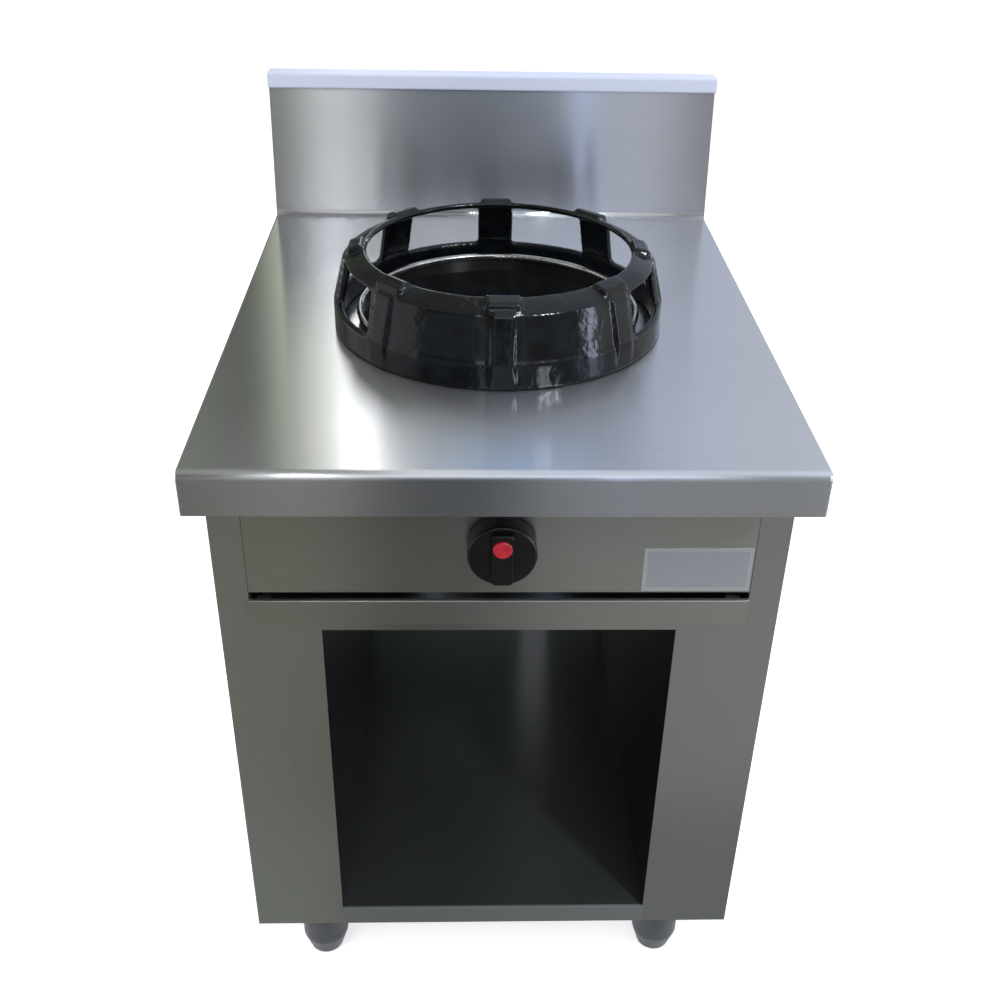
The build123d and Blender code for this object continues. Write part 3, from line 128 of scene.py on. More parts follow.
def add(tree, kind, inputs=None, **settings):
    """Add a node. Inputs maps a socket's name or number to a value or to another node's output."""
    made = tree.nodes.new(kind)
    for name, value in settings.items():
        setattr(made, name, value)
    for socket, value in (inputs or {}).items():
        if isinstance(value, bpy.types.NodeSocket):
            tree.links.new(value, made.inputs[socket])
        else:
            made.inputs[socket].default_value = value
    return made


def begin(name):
    """A new material with an empty node tree."""
    material = bpy.data.materials.new(name)
    material.use_nodes = True
    material.node_tree.nodes.clear()
    return material, material.node_tree


MIX_A, MIX_B, MIX_RESULT = 6, 7, 2      # colour sockets of the Mix node
VECTOR_A, VECTOR_B, VECTOR_RESULT = 4, 5, 1
print("mid grey #808080 is", round(linear("#808080")[0], 3), "in linear light")

# %% [markdown]
# ## Brushed stainless sheet
# The sheets are stainless steel that a belt has brushed in one direction. Each groove is like a tiny round
# mirror, so a lamp is drawn out into a streak across the grooves, and stays sharp along them. Blender could
# get this from bump alone, but the grooves are far finer than a pixel. So the shader's anisotropy draws the
# streak, and a stretched noise adds the grain the eye can just see. Real grooves are about 0.1 mm apart and
# some 40 mm long; here they are 0.8 mm apart, because finer ones would vanish in the render.

# %% Brushed steel
GROOVE_WIDTH = 0.8 * MM
GROOVE_LENGTH = 45 * MM
GROOVE_DEPTH = 0.02 * MM
SMUDGE_SIZE = 170 * MM
SMUDGE_CHANGE = 0.03                 # of roughness, to either side
SIDE_FACING = 0.7                    # a normal's X beyond which a face looks to the side
QUARTER_TURN = 0.25                  # turns the streak across the grain
GRAIN_ALONG_X = (1.0, 0.01, 0.0)     # along Y where a face looks to the side
GRAIN_ALONG_Z = (0.0, 0.01, 1.0)


def grain_scale(direction):
    """Texture scale that stretches a noise along one axis, given as 0, 1 or 2."""
    return tuple(1 / (GROOVE_LENGTH if axis == direction else GROOVE_WIDTH) for axis in range(3))


def brushed_steel(name, light, dark, grain, roughness, anisotropy, where=None, there=None):
    """Satin stainless sheet with its grain along one direction.

    Where is a function that makes a mask. There is the colour, the roughness and the share of bare
    metal that the sheet has under it.
    """
    material, tree = begin(name)
    place = add(tree, "ShaderNodeTexCoord")
    facing = add(tree, "ShaderNodeSeparateXYZ", {0: place.outputs["Normal"]})
    sideways = add(tree, "ShaderNodeMath", {0: facing.outputs["X"]}, operation="ABSOLUTE")
    on_side = add(
        tree, "ShaderNodeMath", {0: sideways.outputs[0], 1: SIDE_FACING}, operation="GREATER_THAN"
    )
    main_axis = 0 if grain == GRAIN_ALONG_X else 2
    side_axis = 1 if grain == GRAIN_ALONG_X else 2
    stretched = [
        add(tree, "ShaderNodeMapping", {"Vector": place.outputs["Object"], "Scale": grain_scale(axis)})
        for axis in (main_axis, side_axis)
    ]
    along = add(
        tree,
        "ShaderNodeMix",
        {
            0: on_side.outputs[0],
            VECTOR_A: stretched[0].outputs[0],
            VECTOR_B: stretched[1].outputs[0],
        },
        data_type="VECTOR",
    )
    grooves = add(
        tree,
        "ShaderNodeTexNoise",
        {"Vector": along.outputs[VECTOR_RESULT], "Scale": 1.0, "Detail": 2.0},
    )
    smudges = add(
        tree,
        "ShaderNodeTexNoise",
        {"Vector": place.outputs["Object"], "Scale": 1 / SMUDGE_SIZE, "Detail": 1.0},
    )
    tone = add(
        tree, "ShaderNodeMapRange", {"Value": grooves.outputs[0], "From Min": 0.2, "From Max": 0.8}
    )
    colour = add(
        tree,
        "ShaderNodeMix",
        {0: tone.outputs[0], MIX_A: linear(dark), MIX_B: linear(light)},
        data_type="RGBA",
    )
    sheen = add(
        tree,
        "ShaderNodeMapRange",
        {
            "Value": smudges.outputs[0],
            "To Min": roughness - SMUDGE_CHANGE,
            "To Max": roughness + SMUDGE_CHANGE,
        },
    )
    finish = {"Base Color": colour.outputs[MIX_RESULT], "Roughness": sheen.outputs[0], "Metallic": 1.0}
    if where:
        mask = where(tree, place.outputs["Object"])
        under = add(
            tree,
            "ShaderNodeMix",
            {0: mask, MIX_A: finish["Base Color"], MIX_B: linear(there[0])},
            data_type="RGBA",
        )
        finish["Base Color"] = under.outputs[MIX_RESULT]
        for socket, value in (("Roughness", there[1]), ("Metallic", there[2])):
            blend = add(
                tree, "ShaderNodeMapRange", {"Value": mask, "To Min": finish[socket], "To Max": value}
            )
            finish[socket] = blend.outputs[0]
    bump = add(
        tree,
        "ShaderNodeBump",
        {"Height": grooves.outputs[0], "Distance": GROOVE_DEPTH, "Strength": 0.25},
    )
    tangent = add(tree, "ShaderNodeCombineXYZ", dict(enumerate(grain)))
    shader = add(
        tree,
        "ShaderNodeBsdfPrincipled",
        {
            **finish,
            "Anisotropic": anisotropy,
            "Anisotropic Rotation": QUARTER_TURN,
            "Tangent": tangent.outputs[0],
            "Normal": bump.outputs[0],
        },
    )
    add(tree, "ShaderNodeOutputMaterial", {"Surface": shader.outputs[0]})
    return material


print("grooves are drawn", GROOVE_WIDTH / MM, "mm apart and", GROOVE_LENGTH / MM, "mm long")

# %% [markdown]
# ## Where light and shade are painted on the steel
# The bore of the worktop inside the upstand is painted nearly black: painted shade of the recess under
# the ring. The narrow fold along the top of the backsplash is painted paler, bluish and dull: a painted
# reflection. The front edge of the shelf's floor is painted paler and dull: a painted highlight. All are
# the same sheet as what is round them, so they are masks in its finish: by the distance from the burner's
# axis, by height and by depth. Their places are read from the frame.

# %% Masks on the sheets
bead_low, bead_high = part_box("collar_ring")
BURNER_AXIS = ((bead_low + bead_high) / 2).xy
BORE_SHADE_RADIUS = 157.5 * MM
SPLASH_FOLD = 19 * MM
splash_low, splash_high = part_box("backsplash")
EDGE_HIGHLIGHT_DEPTH = 3.5 * MM
shelf_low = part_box("shelf_floor")[0]


def in_bore(tree, place):
    """1 inside the upstand, 0 elsewhere."""
    offset = add(
        tree, "ShaderNodeVectorMath", {0: place, 1: (*BURNER_AXIS, 0)}, operation="SUBTRACT"
    )
    level = add(
        tree, "ShaderNodeVectorMath", {0: offset.outputs[0], 1: (1, 1, 0)}, operation="MULTIPLY"
    )
    reach = add(tree, "ShaderNodeVectorMath", {0: level.outputs[0]}, operation="LENGTH")
    inside = add(
        tree, "ShaderNodeMath", {0: reach.outputs["Value"], 1: BORE_SHADE_RADIUS}, operation="LESS_THAN"
    )
    return inside.outputs[0]


def on_fold(tree, place):
    """1 on the fold along the top of the backsplash, 0 below it."""
    height = add(tree, "ShaderNodeSeparateXYZ", {0: place})
    above = add(
        tree,
        "ShaderNodeMath",
        {0: height.outputs["Z"], 1: splash_high.z - SPLASH_FOLD},
        operation="GREATER_THAN",
    )
    return above.outputs[0]


def on_front_edge(tree, place):
    """1 on the front edge of the shelf's floor, 0 behind it."""
    depth = add(tree, "ShaderNodeSeparateXYZ", {0: place})
    ahead = add(
        tree,
        "ShaderNodeMath",
        {0: depth.outputs["Y"], 1: shelf_low.y + EDGE_HIGHLIGHT_DEPTH},
        operation="LESS_THAN",
    )
    return ahead.outputs[0]


print("painted shade inside", BORE_SHADE_RADIUS / MM, "mm; painted reflection on fold", SPLASH_FOLD / MM, "mm high")

# %% [markdown]
# ## Eight cuts of the same steel
# All the sheets are the same stainless steel, but the eye tells them apart. The worktop is wiped bright,
# the backsplash is smoother still, and the panel, uprights and tray are satin. The shelf and its liners are
# dull, because nobody polishes the inside, and the liners and the shelf's floor are painted darker than the
# shelf: painted shade of the cavity. So each has its own grey and its own roughness, and the uprights have
# an upright grain.

# %% Stainless sheets
TOP_LIGHT, TOP_DARK = "#c4c5c8", "#bcbdc0"
# painted shade: the bore under the ring is painted nearly black, and partly no longer bare metal
BORE_SHADE = ("#1b1917", 0.5, 0.6)          # blackened, so partly no longer bare metal
# painted reflection: the fold along the top of the backsplash is painted paler, bluish and dull
FOLD_PAINTED_REFLECTION = ("#dce2f4", 0.5, 0.2)      # pale and dull
# painted highlight: the front edge of the shelf's floor is painted paler and dull
SHELF_EDGE_HIGHLIGHT = ("#7b7d7b", 0.5, 0.6)

# bright and wiped: the room shows in it as soft upright bands
top_steel = brushed_steel(
    "brushed_stainless_top", TOP_LIGHT, TOP_DARK, GRAIN_ALONG_X, 0.24, 1.0, in_bore, BORE_SHADE
)
# the same sheet, less scratched: its bands are sharper
splash_steel = brushed_steel(
    "brushed_stainless_splash", TOP_LIGHT, TOP_DARK, GRAIN_ALONG_X, 0.2, 1.0, on_fold, FOLD_PAINTED_REFLECTION
)
# satin and a little yellower, from heat and cleaning
panel_steel = brushed_steel(
    "brushed_stainless_panel", "#b4b5b0", "#abaca6", GRAIN_ALONG_X, 0.3, 0.8
)
# satin with an upright grain, so that its light runs across instead of up
upright_steel = brushed_steel(
    "brushed_stainless_upright", "#bdc0be", "#b5b8b6", GRAIN_ALONG_Z, 0.36, 0.7
)
# dull, and painted darker than the shelf: painted shade of the cavity
liner_in_painted_shade = brushed_steel(
    "dark_stainless_liner_painted_shade", "#7a7c7c", "#727474", GRAIN_ALONG_X, 0.34, 0.8
)
shelf_steel = brushed_steel(
    "dull_stainless_shelf", "#adb0b0", "#a4a7a7", GRAIN_ALONG_X, 0.3, 0.8
)
# the shelf's floor, painted darker than the shelf as shade of the cavity, with a painted highlight along
# its front edge
shaded_floor_with_edge_highlight = brushed_steel(
    "shaded_stainless_floor_with_edge_highlight", "#8d9090", "#868989", GRAIN_ALONG_X, 0.3, 0.8, on_front_edge, SHELF_EDGE_HIGHLIGHT
)
# the tray's front is handled every day, so it is warmer and softer than the panel above it
tray_steel = brushed_steel(
    "brushed_stainless_tray", "#b0aea9", "#a8a6a1", GRAIN_ALONG_X, 0.34, 0.8
)
print("stainless sheets:", [m.name for m in bpy.data.materials if "stainless" in m.name])

# %% [markdown]
# ## Metals without a grain
# Brackets, rails and screws are zinc-plated, the valve is machined brass, the gas tubes are drawn copper
# and the return spring is bright wire. None of them is brushed, so one function makes them all: a mottled
# colour, and a roughness that follows the same mottling, at the size each surface really has.

# %% Plain metals
def plain_metal(name, light, dark, roughness, mottle, depth):
    """A metal with no grain; mottle is the size of its patches in mm, and depth its unevenness."""
    material, tree = begin(name)
    place = add(tree, "ShaderNodeTexCoord")
    patches = add(
        tree,
        "ShaderNodeTexNoise",
        {
            "Vector": place.outputs["Object"],
            "Scale": 1 / (mottle * MM),
            "Detail": 5.0,
            "Roughness": 0.6,
        },
    )
    share = add(
        tree, "ShaderNodeMapRange", {"Value": patches.outputs[0], "From Min": 0.35, "From Max": 0.65}
    )
    colour = add(
        tree,
        "ShaderNodeMix",
        {0: share.outputs[0], MIX_A: linear(dark), MIX_B: linear(light)},
        data_type="RGBA",
    )
    rough = add(
        tree,
        "ShaderNodeMapRange",
        {"Value": patches.outputs[0], "To Min": roughness + 0.1, "To Max": roughness - 0.1},
    )
    bump = add(
        tree,
        "ShaderNodeBump",
        {"Height": patches.outputs[0], "Distance": depth * MM, "Strength": 0.6},
    )
    shader = add(
        tree,
        "ShaderNodeBsdfPrincipled",
        {
            "Base Color": colour.outputs[MIX_RESULT],
            "Metallic": 1.0,
            "Roughness": rough.outputs[0],
            "Normal": bump.outputs[0],
        },
    )
    add(tree, "ShaderNodeOutputMaterial", {"Surface": shader.outputs[0]})
    return material


# plating is never quite even, so it is slightly cloudy
zinc_plate = plain_metal("zinc_plated_steel", "#a6a8a4", "#8b8e8c", 0.38, 9, 0.05)
# turned and clean, with a warm shine
brass = plain_metal("machined_brass", "#c9a35e", "#a8824a", 0.3, 14, 0.03)
# browned by air in patches as long as a finger is wide
copper = plain_metal("drawn_copper", "#c07a58", "#8f5540", 0.34, 16, 0.03)
# drawn through a die, so it is smooth and bright
spring_wire = plain_metal("bright_spring_wire", "#b9bbc0", "#9fa1a6", 0.22, 6, 0.01)
# rolled smooth, then stained a little by heat
rolled_bead = plain_metal("rolled_steel_bead", "#c6c7c6", "#9d9c98", 0.25, 25, 0.02)
print("plain metals:", [m.name for m in (zinc_plate, brass, copper, spring_wire, rolled_bead)])

# %% [markdown]
# ## Enamel, iron and plastic
# The wok ring is cast iron dipped in black glass enamel, which pools and crawls over the rough casting, so
# its gloss breaks into lumps. The burner is bare iron, dull and sandy. The knob is moulded phenolic, the
# marker a glossy red button, and the legs a blue-grey plastic, painted dark as shade from the body above.
# All of them are non-metals to the eye, and differ in colour, gloss and the size of what makes them uneven,
# so again one function makes them.

# %% Coated and moulded finishes
def dull_or_glossy(name, light, dark, roughness, lumps, lump_depth, grit, grit_depth, ior=1.5):
    """A non-metal. Lumps and grit are the sizes in mm of its slow and its fine unevenness."""
    material, tree = begin(name)
    place = add(tree, "ShaderNodeTexCoord")
    slow, fine = (
        add(
            tree,
            "ShaderNodeTexNoise",
            {"Vector": place.outputs["Object"], "Scale": 1 / (size * MM), "Detail": 3.0},
        )
        for size in (lumps, grit)
    )
    share = add(
        tree, "ShaderNodeMapRange", {"Value": slow.outputs[0], "From Min": 0.35, "From Max": 0.65}
    )
    colour = add(
        tree,
        "ShaderNodeMix",
        {0: share.outputs[0], MIX_A: linear(dark), MIX_B: linear(light)},
        data_type="RGBA",
    )
    rough = add(
        tree,
        "ShaderNodeMapRange",
        {"Value": slow.outputs[0], "To Min": roughness * 0.7, "To Max": roughness * 1.4},
    )
    wide = add(
        tree,
        "ShaderNodeBump",
        {"Height": slow.outputs[0], "Distance": lump_depth * MM, "Strength": 1.0},
    )
    bump = add(
        tree,
        "ShaderNodeBump",
        {
            "Height": fine.outputs[0],
            "Distance": grit_depth * MM,
            "Strength": 0.8,
            "Normal": wide.outputs[0],
        },
    )
    shader = add(
        tree,
        "ShaderNodeBsdfPrincipled",
        {
            "Base Color": colour.outputs[MIX_RESULT],
            "Roughness": rough.outputs[0],
            "IOR": ior,
            "Normal": bump.outputs[0],
        },
    )
    add(tree, "ShaderNodeOutputMaterial", {"Surface": shader.outputs[0]})
    return material


# wet-looking black whose highlights break up; its IOR is below the 1.5 of glass, because the real one
# mirrors as weakly as that
ring_enamel = dull_or_glossy(
    "black_glass_enamel", "#12171b", "#08090b", 0.14, 22, 0.8, 5, 0.2, 1.36
)
# the same enamel after years over a flame, dulled
bowl_enamel = dull_or_glossy("dark_enamel_bowl", "#1b1d1f", "#0f1011", 0.35, 30, 0.5, 3, 0.1)
# rough from the sand mould, with no gloss left
bare_iron = dull_or_glossy("bare_cast_iron", "#2c2b2b", "#1b1a1a", 0.6, 12, 0.4, 1.6, 0.3)
# hard moulded plastic with a soft sheen
phenolic = dull_or_glossy("moulded_phenolic", "#08090a", "#050606", 0.3, 18, 0.05, 1.5, 0.02)
# a moulded button, smooth enough to hold one small highlight
red_button = dull_or_glossy("red_glossy_plastic", "#d2293c", "#bd1c30", 0.2, 9, 0.03, 1.5, 0.01)
# moulded plastic with a fine grain that scatters the light; its dark tone is painted shade from the body
# above
shaded_legs_plastic = dull_or_glossy("blue_grey_leg_plastic", "#3a3f49", "#2f333b", 0.42, 25, 0.1, 1.2, 0.05)
print("coated finishes:", [m.name for m in (ring_enamel, bowl_enamel, bare_iron, phenolic, red_button)])

# %% [markdown]
# ## The blank plate
# A plate of thin metal foil sits on the panel, satin and never quite flat, so its sheen is cloudy. Its face
# is bare, with only the paler border such a plate has round its field. An image could draw the border, but
# here it is worked out from the plate's own box, so it follows if the plate is moved.

# %% Plate foil
PLATE_BORDER = 4 * MM
FOIL_PATCH = 22 * MM
FOIL_DEPTH = 0.1 * MM
plate_low, plate_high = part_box("rating_plate")
plate_middle = (plate_low + plate_high) / 2
plate_half = (plate_high - plate_low) / 2

plate_foil, tree = begin("satin_foil_plate")
place = add(tree, "ShaderNodeTexCoord")
inward = add(
    tree,
    "ShaderNodeVectorMath",
    {0: place.outputs["Object"], 1: tuple(plate_middle)},
    operation="SUBTRACT",
)
flat = add(tree, "ShaderNodeVectorMath", {0: inward.outputs[0]}, operation="ABSOLUTE")
sides = add(tree, "ShaderNodeSeparateXYZ", {0: flat.outputs[0]})
beyond = [
    add(
        tree,
        "ShaderNodeMath",
        {0: sides.outputs[axis], 1: half - PLATE_BORDER},
        operation="GREATER_THAN",
    )
    for axis, half in (("X", plate_half.x), ("Z", plate_half.z))
]
in_border = add(
    tree, "ShaderNodeMath", {0: beyond[0].outputs[0], 1: beyond[1].outputs[0]}, operation="MAXIMUM"
)
foil_patches = add(
    tree,
    "ShaderNodeTexNoise",
    {"Vector": place.outputs["Object"], "Scale": 1 / FOIL_PATCH, "Detail": 4.0},
)
field = add(
    tree,
    "ShaderNodeMix",
    {0: foil_patches.outputs[0], MIX_A: linear("#b2b8c0"), MIX_B: linear("#bdc1c6")},
    data_type="RGBA",
)
foil_colour = add(
    tree,
    "ShaderNodeMix",
    {0: in_border.outputs[0], MIX_A: field.outputs[MIX_RESULT], MIX_B: linear("#c8cccf")},
    data_type="RGBA",
)
foil_rough = add(
    tree, "ShaderNodeMapRange", {"Value": foil_patches.outputs[0], "To Min": 0.38, "To Max": 0.52}
)
foil_bump = add(
    tree, "ShaderNodeBump", {"Height": foil_patches.outputs[0], "Distance": FOIL_DEPTH, "Strength": 0.5}
)
shader = add(
    tree,
    "ShaderNodeBsdfPrincipled",
    {
        "Base Color": foil_colour.outputs[MIX_RESULT],
        "Metallic": 0.7,
        "Roughness": foil_rough.outputs[0],
        "Normal": foil_bump.outputs[0],
    },
)
add(tree, "ShaderNodeOutputMaterial", {"Surface": shader.outputs[0]})
print("plate is", [round(2 * v / MM) for v in plate_half], "mm")

# %% [markdown]
# ## Dress the solids
# The record says which finish each solid takes. Sheets that lie in different directions, or were finished
# apart, get their own cut of steel; everything else follows the record's slot.

# %% Finish of each node
FINISH_OF_SLOT = {
    "brushed_top_steel": top_steel,
    "body_steel": upright_steel,
    "shelf_steel": shelf_steel,
    "zinc_steel": zinc_plate,
    "black_enamel": ring_enamel,
    "grey_cast_iron": bare_iron,
    "dark_enamel": bowl_enamel,
    "black_phenolic": phenolic,
    "red_marker": red_button,
    "blank_plate": plate_foil,
    "brass": brass,
    "copper_tube": copper,
    "spring_steel": spring_wire,
    "dark_leg": shaded_legs_plastic,
}
FINISH_OF_NODE = {
    "backsplash": splash_steel,
    "collar_ring": rolled_bead,
    "control_panel": panel_steel,
    "drip_tray_front": tray_steel,
    "shelf_ceiling": panel_steel,
    "shelf_floor": shaded_floor_with_edge_highlight,
    "left_shelf_liner": liner_in_painted_shade,
    "right_shelf_liner": liner_in_painted_shade,
}
for part in frame["record"]["subparts"]:
    mesh = frame["nodes"][part["node"]].data
    mesh.materials.clear()
    mesh.materials.append(FINISH_OF_NODE.get(part["node"], FINISH_OF_SLOT[part["material_slot"]]))

# %% [markdown]
# ## The wok ring
# The casting has no sharp edge anywhere: sand moulding rounds them, and the enamel fills every corner. The
# frame's solid is exact but crisp. A voxel remesh turns its shell into an even net of small squares,
# smoothing rounds the edges, and a cloud texture pushes the surface in and out by a fraction of a
# millimetre, as the crawled enamel does. The result stands where the solid stands, and replaces it.

# %% Wok ring casting
RING_VOXEL = 1.8 * MM
RING_UNEVEN = 0.5 * MM
RING_LUMPS = 16 * MM


def baked_copy(source, name, modifiers):
    """A new object whose mesh is the source's after the given modifiers, as (kind, settings) pairs."""
    copy = bpy.data.objects.new(name, source.data.copy())
    bpy.context.scene.collection.objects.link(copy)
    for kind, settings in modifiers:
        modifier = copy.modifiers.new(kind.lower(), kind)
        for key, value in settings.items():
            setattr(modifier, key, value)
    bpy.context.view_layer.update()
    ready = copy.evaluated_get(bpy.context.evaluated_depsgraph_get())
    mesh = bpy.data.meshes.new_from_object(ready)
    mesh.name = name
    copy.modifiers.clear()
    copy.data = mesh
    return copy


enamel_lumps = bpy.data.textures.new("enamel_lumps", "CLOUDS")
enamel_lumps.noise_scale = RING_LUMPS
enamel_lumps.noise_depth = 2
ring_casting = baked_copy(
    frame["nodes"]["wok_ring"],
    "wok_ring_casting",
    (
        ("WELD", {"merge_threshold": 0.01 * MM}),
        ("REMESH", {"mode": "VOXEL", "voxel_size": RING_VOXEL, "use_smooth_shade": True}),
        ("SMOOTH", {"factor": 0.5, "iterations": 14}),
        (
            "DISPLACE",
            {
                "texture": enamel_lumps,
                "texture_coords": "LOCAL",
                "strength": RING_UNEVEN,
                "mid_level": 0.5,
            },
        ),
    ),
)
ring_casting.data.materials.clear()
ring_casting.data.materials.append(ring_enamel)
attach(ring_casting, "wok_ring")
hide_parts("wok_ring")
print("ring casting has", len(ring_casting.data.polygons), "faces")

# %% [markdown]
# ## The spring behind the knob
# Pushing the knob in presses a coil spring shorter, which no solid can do. Here the spring is a copy of the
# frame's own solid with a mesh of its own, standing in its place; nothing in this script flattens it. How
# far it would have to give way is the knob's travel, which the record holds.

return_spring = baked_copy(frame["nodes"]["valve_spring"], "return_spring", ())
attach(return_spring, "range_body")
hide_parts("valve_spring")
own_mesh(return_spring)

# %% [markdown]
# ## The fold at the foot of the backsplash
# Where the leaning face meets the worktop, the sheet isn't cut and butted but rounded, so that it can be
# wiped clean. That small hollow catches a lamp as one white line. It is a thin strip with a hollow front,
# so its outline is drawn once, seen from the side, and drawn out from end to end.

# %% Hollow strip
STRIP_SIZE = 6 * MM
STRIP_STEPS = 8
STRIP_TUCK = 0.6 * MM          # how far it sinks into the sheets behind it
FACE_FOOT_Y = splash_low.y
WORKTOP_Z = splash_low.z
FACE_SLOPE = 20 / 168          # the face leans back 20 mm in 168 mm

outline = [(FACE_FOOT_Y + STRIP_TUCK, WORKTOP_Z - STRIP_TUCK)]
for step in range(STRIP_STEPS + 1):
    angle = math.radians(90 * step / STRIP_STEPS)
    rise = STRIP_SIZE * (1 - math.cos(angle))
    reach = STRIP_SIZE * (1 - math.sin(angle))
    outline.append((FACE_FOOT_Y - reach + rise * FACE_SLOPE, WORKTOP_Z + rise))
outline.append((FACE_FOOT_Y + STRIP_TUCK + STRIP_SIZE * FACE_SLOPE, WORKTOP_Z + STRIP_SIZE))

shape = bmesh.new()
rows = [
    [shape.verts.new((x, y, z)) for y, z in outline]
    for x in (splash_low.x + STRIP_TUCK, splash_high.x - STRIP_TUCK)
]
for index in range(len(outline)):
    after = (index + 1) % len(outline)
    shape.faces.new((rows[0][index], rows[0][after], rows[1][after], rows[1][index]))
for row in rows:
    shape.faces.new(row)
bmesh.ops.recalc_face_normals(shape, faces=shape.faces)
for face in shape.faces:
    face.smooth = len(face.verts) == 4
strip_mesh = bpy.data.meshes.new("splash_foot_fold")
shape.to_mesh(strip_mesh)
shape.free()
strip_mesh.materials.append(top_steel)
strip = bpy.data.objects.new("splash_foot_fold", strip_mesh)
bpy.context.scene.collection.objects.link(strip)
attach(strip, "range_body")
print("strip along the splash is", round(splash_high.x - splash_low.x, 3), "m long")

# %% [markdown]
# ## Floor and world
# The picture has a plain white ground. The floor is a wide pale plane that still takes the range's shadow,
# and the world is white to the camera and in reflections, and dimmer as a light, so that the lamps shape
# the steel.

# %% Floor and world
FLOOR_REACH = 40.0
FLOOR_GLOW = 0.65               # what the floor adds for the camera and for reflections
WORLD_LIGHT = 0.45


def any_ray(tree, *kinds):
    """1 for a ray of any of the given kinds, 0 for the others."""
    rays = add(tree, "ShaderNodeLightPath")
    found = rays.outputs[kinds[0]]
    for kind in kinds[1:]:
        either = add(tree, "ShaderNodeMath", {0: found, 1: rays.outputs[kind]}, operation="MAXIMUM")
        found = either.outputs[0]
    return found


SEEN_BY = ("Is Camera Ray", "Is Glossy Ray", "Is Transmission Ray")
floor_mesh = bpy.data.meshes.new("floor")
floor_corners = [(x * FLOOR_REACH, y * FLOOR_REACH, 0) for x, y in ((-1, -1), (1, -1), (1, 1), (-1, 1))]
floor_mesh.from_pydata(floor_corners, [], [(0, 1, 2, 3)])
floor = bpy.data.objects.new("floor", floor_mesh)
bpy.context.scene.collection.objects.link(floor)
floor_paint, tree = begin("pale_floor")
paint = add(tree, "ShaderNodeBsdfDiffuse", {"Color": linear("#f4f4f4")})
glow = add(tree, "ShaderNodeEmission", {"Color": (1, 1, 1, 1), "Strength": FLOOR_GLOW})
nothing = add(tree, "ShaderNodeEmission", {"Strength": 0.0})
seen_glow = add(
    tree, "ShaderNodeMixShader", {0: any_ray(tree, *SEEN_BY), 1: nothing.outputs[0], 2: glow.outputs[0]}
)
both = add(tree, "ShaderNodeAddShader", {0: paint.outputs[0], 1: seen_glow.outputs[0]})
add(tree, "ShaderNodeOutputMaterial", {"Surface": both.outputs[0]})
floor_mesh.materials.append(floor_paint)

world = bpy.data.worlds.new("studio")
world.use_nodes = True
world.node_tree.nodes.clear()
tree = world.node_tree
as_light = add(tree, "ShaderNodeBackground", {"Color": linear("#f4f6ff"), "Strength": WORLD_LIGHT})
as_seen = add(tree, "ShaderNodeBackground", {"Color": (1, 1, 1, 1), "Strength": 1.0})
chosen = add(
    tree,
    "ShaderNodeMixShader",
    {0: any_ray(tree, *SEEN_BY), 1: as_light.outputs[0], 2: as_seen.outputs[0]},
)
add(tree, "ShaderNodeOutputWorld", {"Surface": chosen.outputs[0]})
bpy.context.scene.world = world
print("floor and world are white")

# %% [markdown]
# ## Three soft lamps
# What isn't metal, such as the knob, the legs and the floor, is lit by three large soft lamps: one high on
# the left, a weaker one on the right and one behind. A small lamp would draw hard shadows, which the
# picture doesn't have. They are hidden from reflections, because what the steel mirrors is set by the cards
# further down.

# %% Lamps
def lamp(name, place, target, size, power, colour="#ffffff"):
    """A soft rectangular lamp that faces a point; size is width and height in metres."""
    data = bpy.data.lights.new(name, "AREA")
    data.shape = "RECTANGLE"
    data.size, data.size_y = size
    data.energy = power
    data.color = linear(colour)[:3]
    made = bpy.data.objects.new(name, data)
    bpy.context.scene.collection.objects.link(made)
    aim = Vector(target) - Vector(place)
    made.matrix_world = Matrix.Translation(place) @ aim.to_track_quat("-Z", "Y").to_matrix().to_4x4()
    made.visible_camera = False
    made.visible_glossy = False
    return made


lamp("key_lamp", (-1.6, -2.2, 3.0), (0, 0, 0.7), (1.6, 1.6), 55)
lamp("fill_lamp", (2.2, -1.2, 2.4), (0, 0, 0.7), (1.4, 1.4), 25, "#f0f4ff")
lamp("back_lamp", (0.2, 2.4, 3.2), (0, 0, 0.8), (1.8, 0.8), 35)

# %% [markdown]
# ## Cards for the steel to mirror
# Brushed steel has no look of its own: it shows what stands round it. A photographer sets grey and white
# cards where the metal will mirror them. A card here is a flat sheet that glows, seen only in reflections,
# so it throws no shadow and never stands in a picture. It can change its tone along its length, as a wall
# does that a window lights from one end. Each sheet mirrors another part of the room, so each card's tones
# are set for one sheet.

# %% Card helper
WALL_ENDS = (-4.0, 4.0)
BACK_WALL_Y = 2.6
FRONT_WALL_Y = -2.6
CEILING_Z = 3.6
ON_FLOOR_Z = 2 * MM                # just over the floor, so that the two never fight
AHEAD_ENDS = (-3.0, 3.0)           # cards on the floor ahead of the range


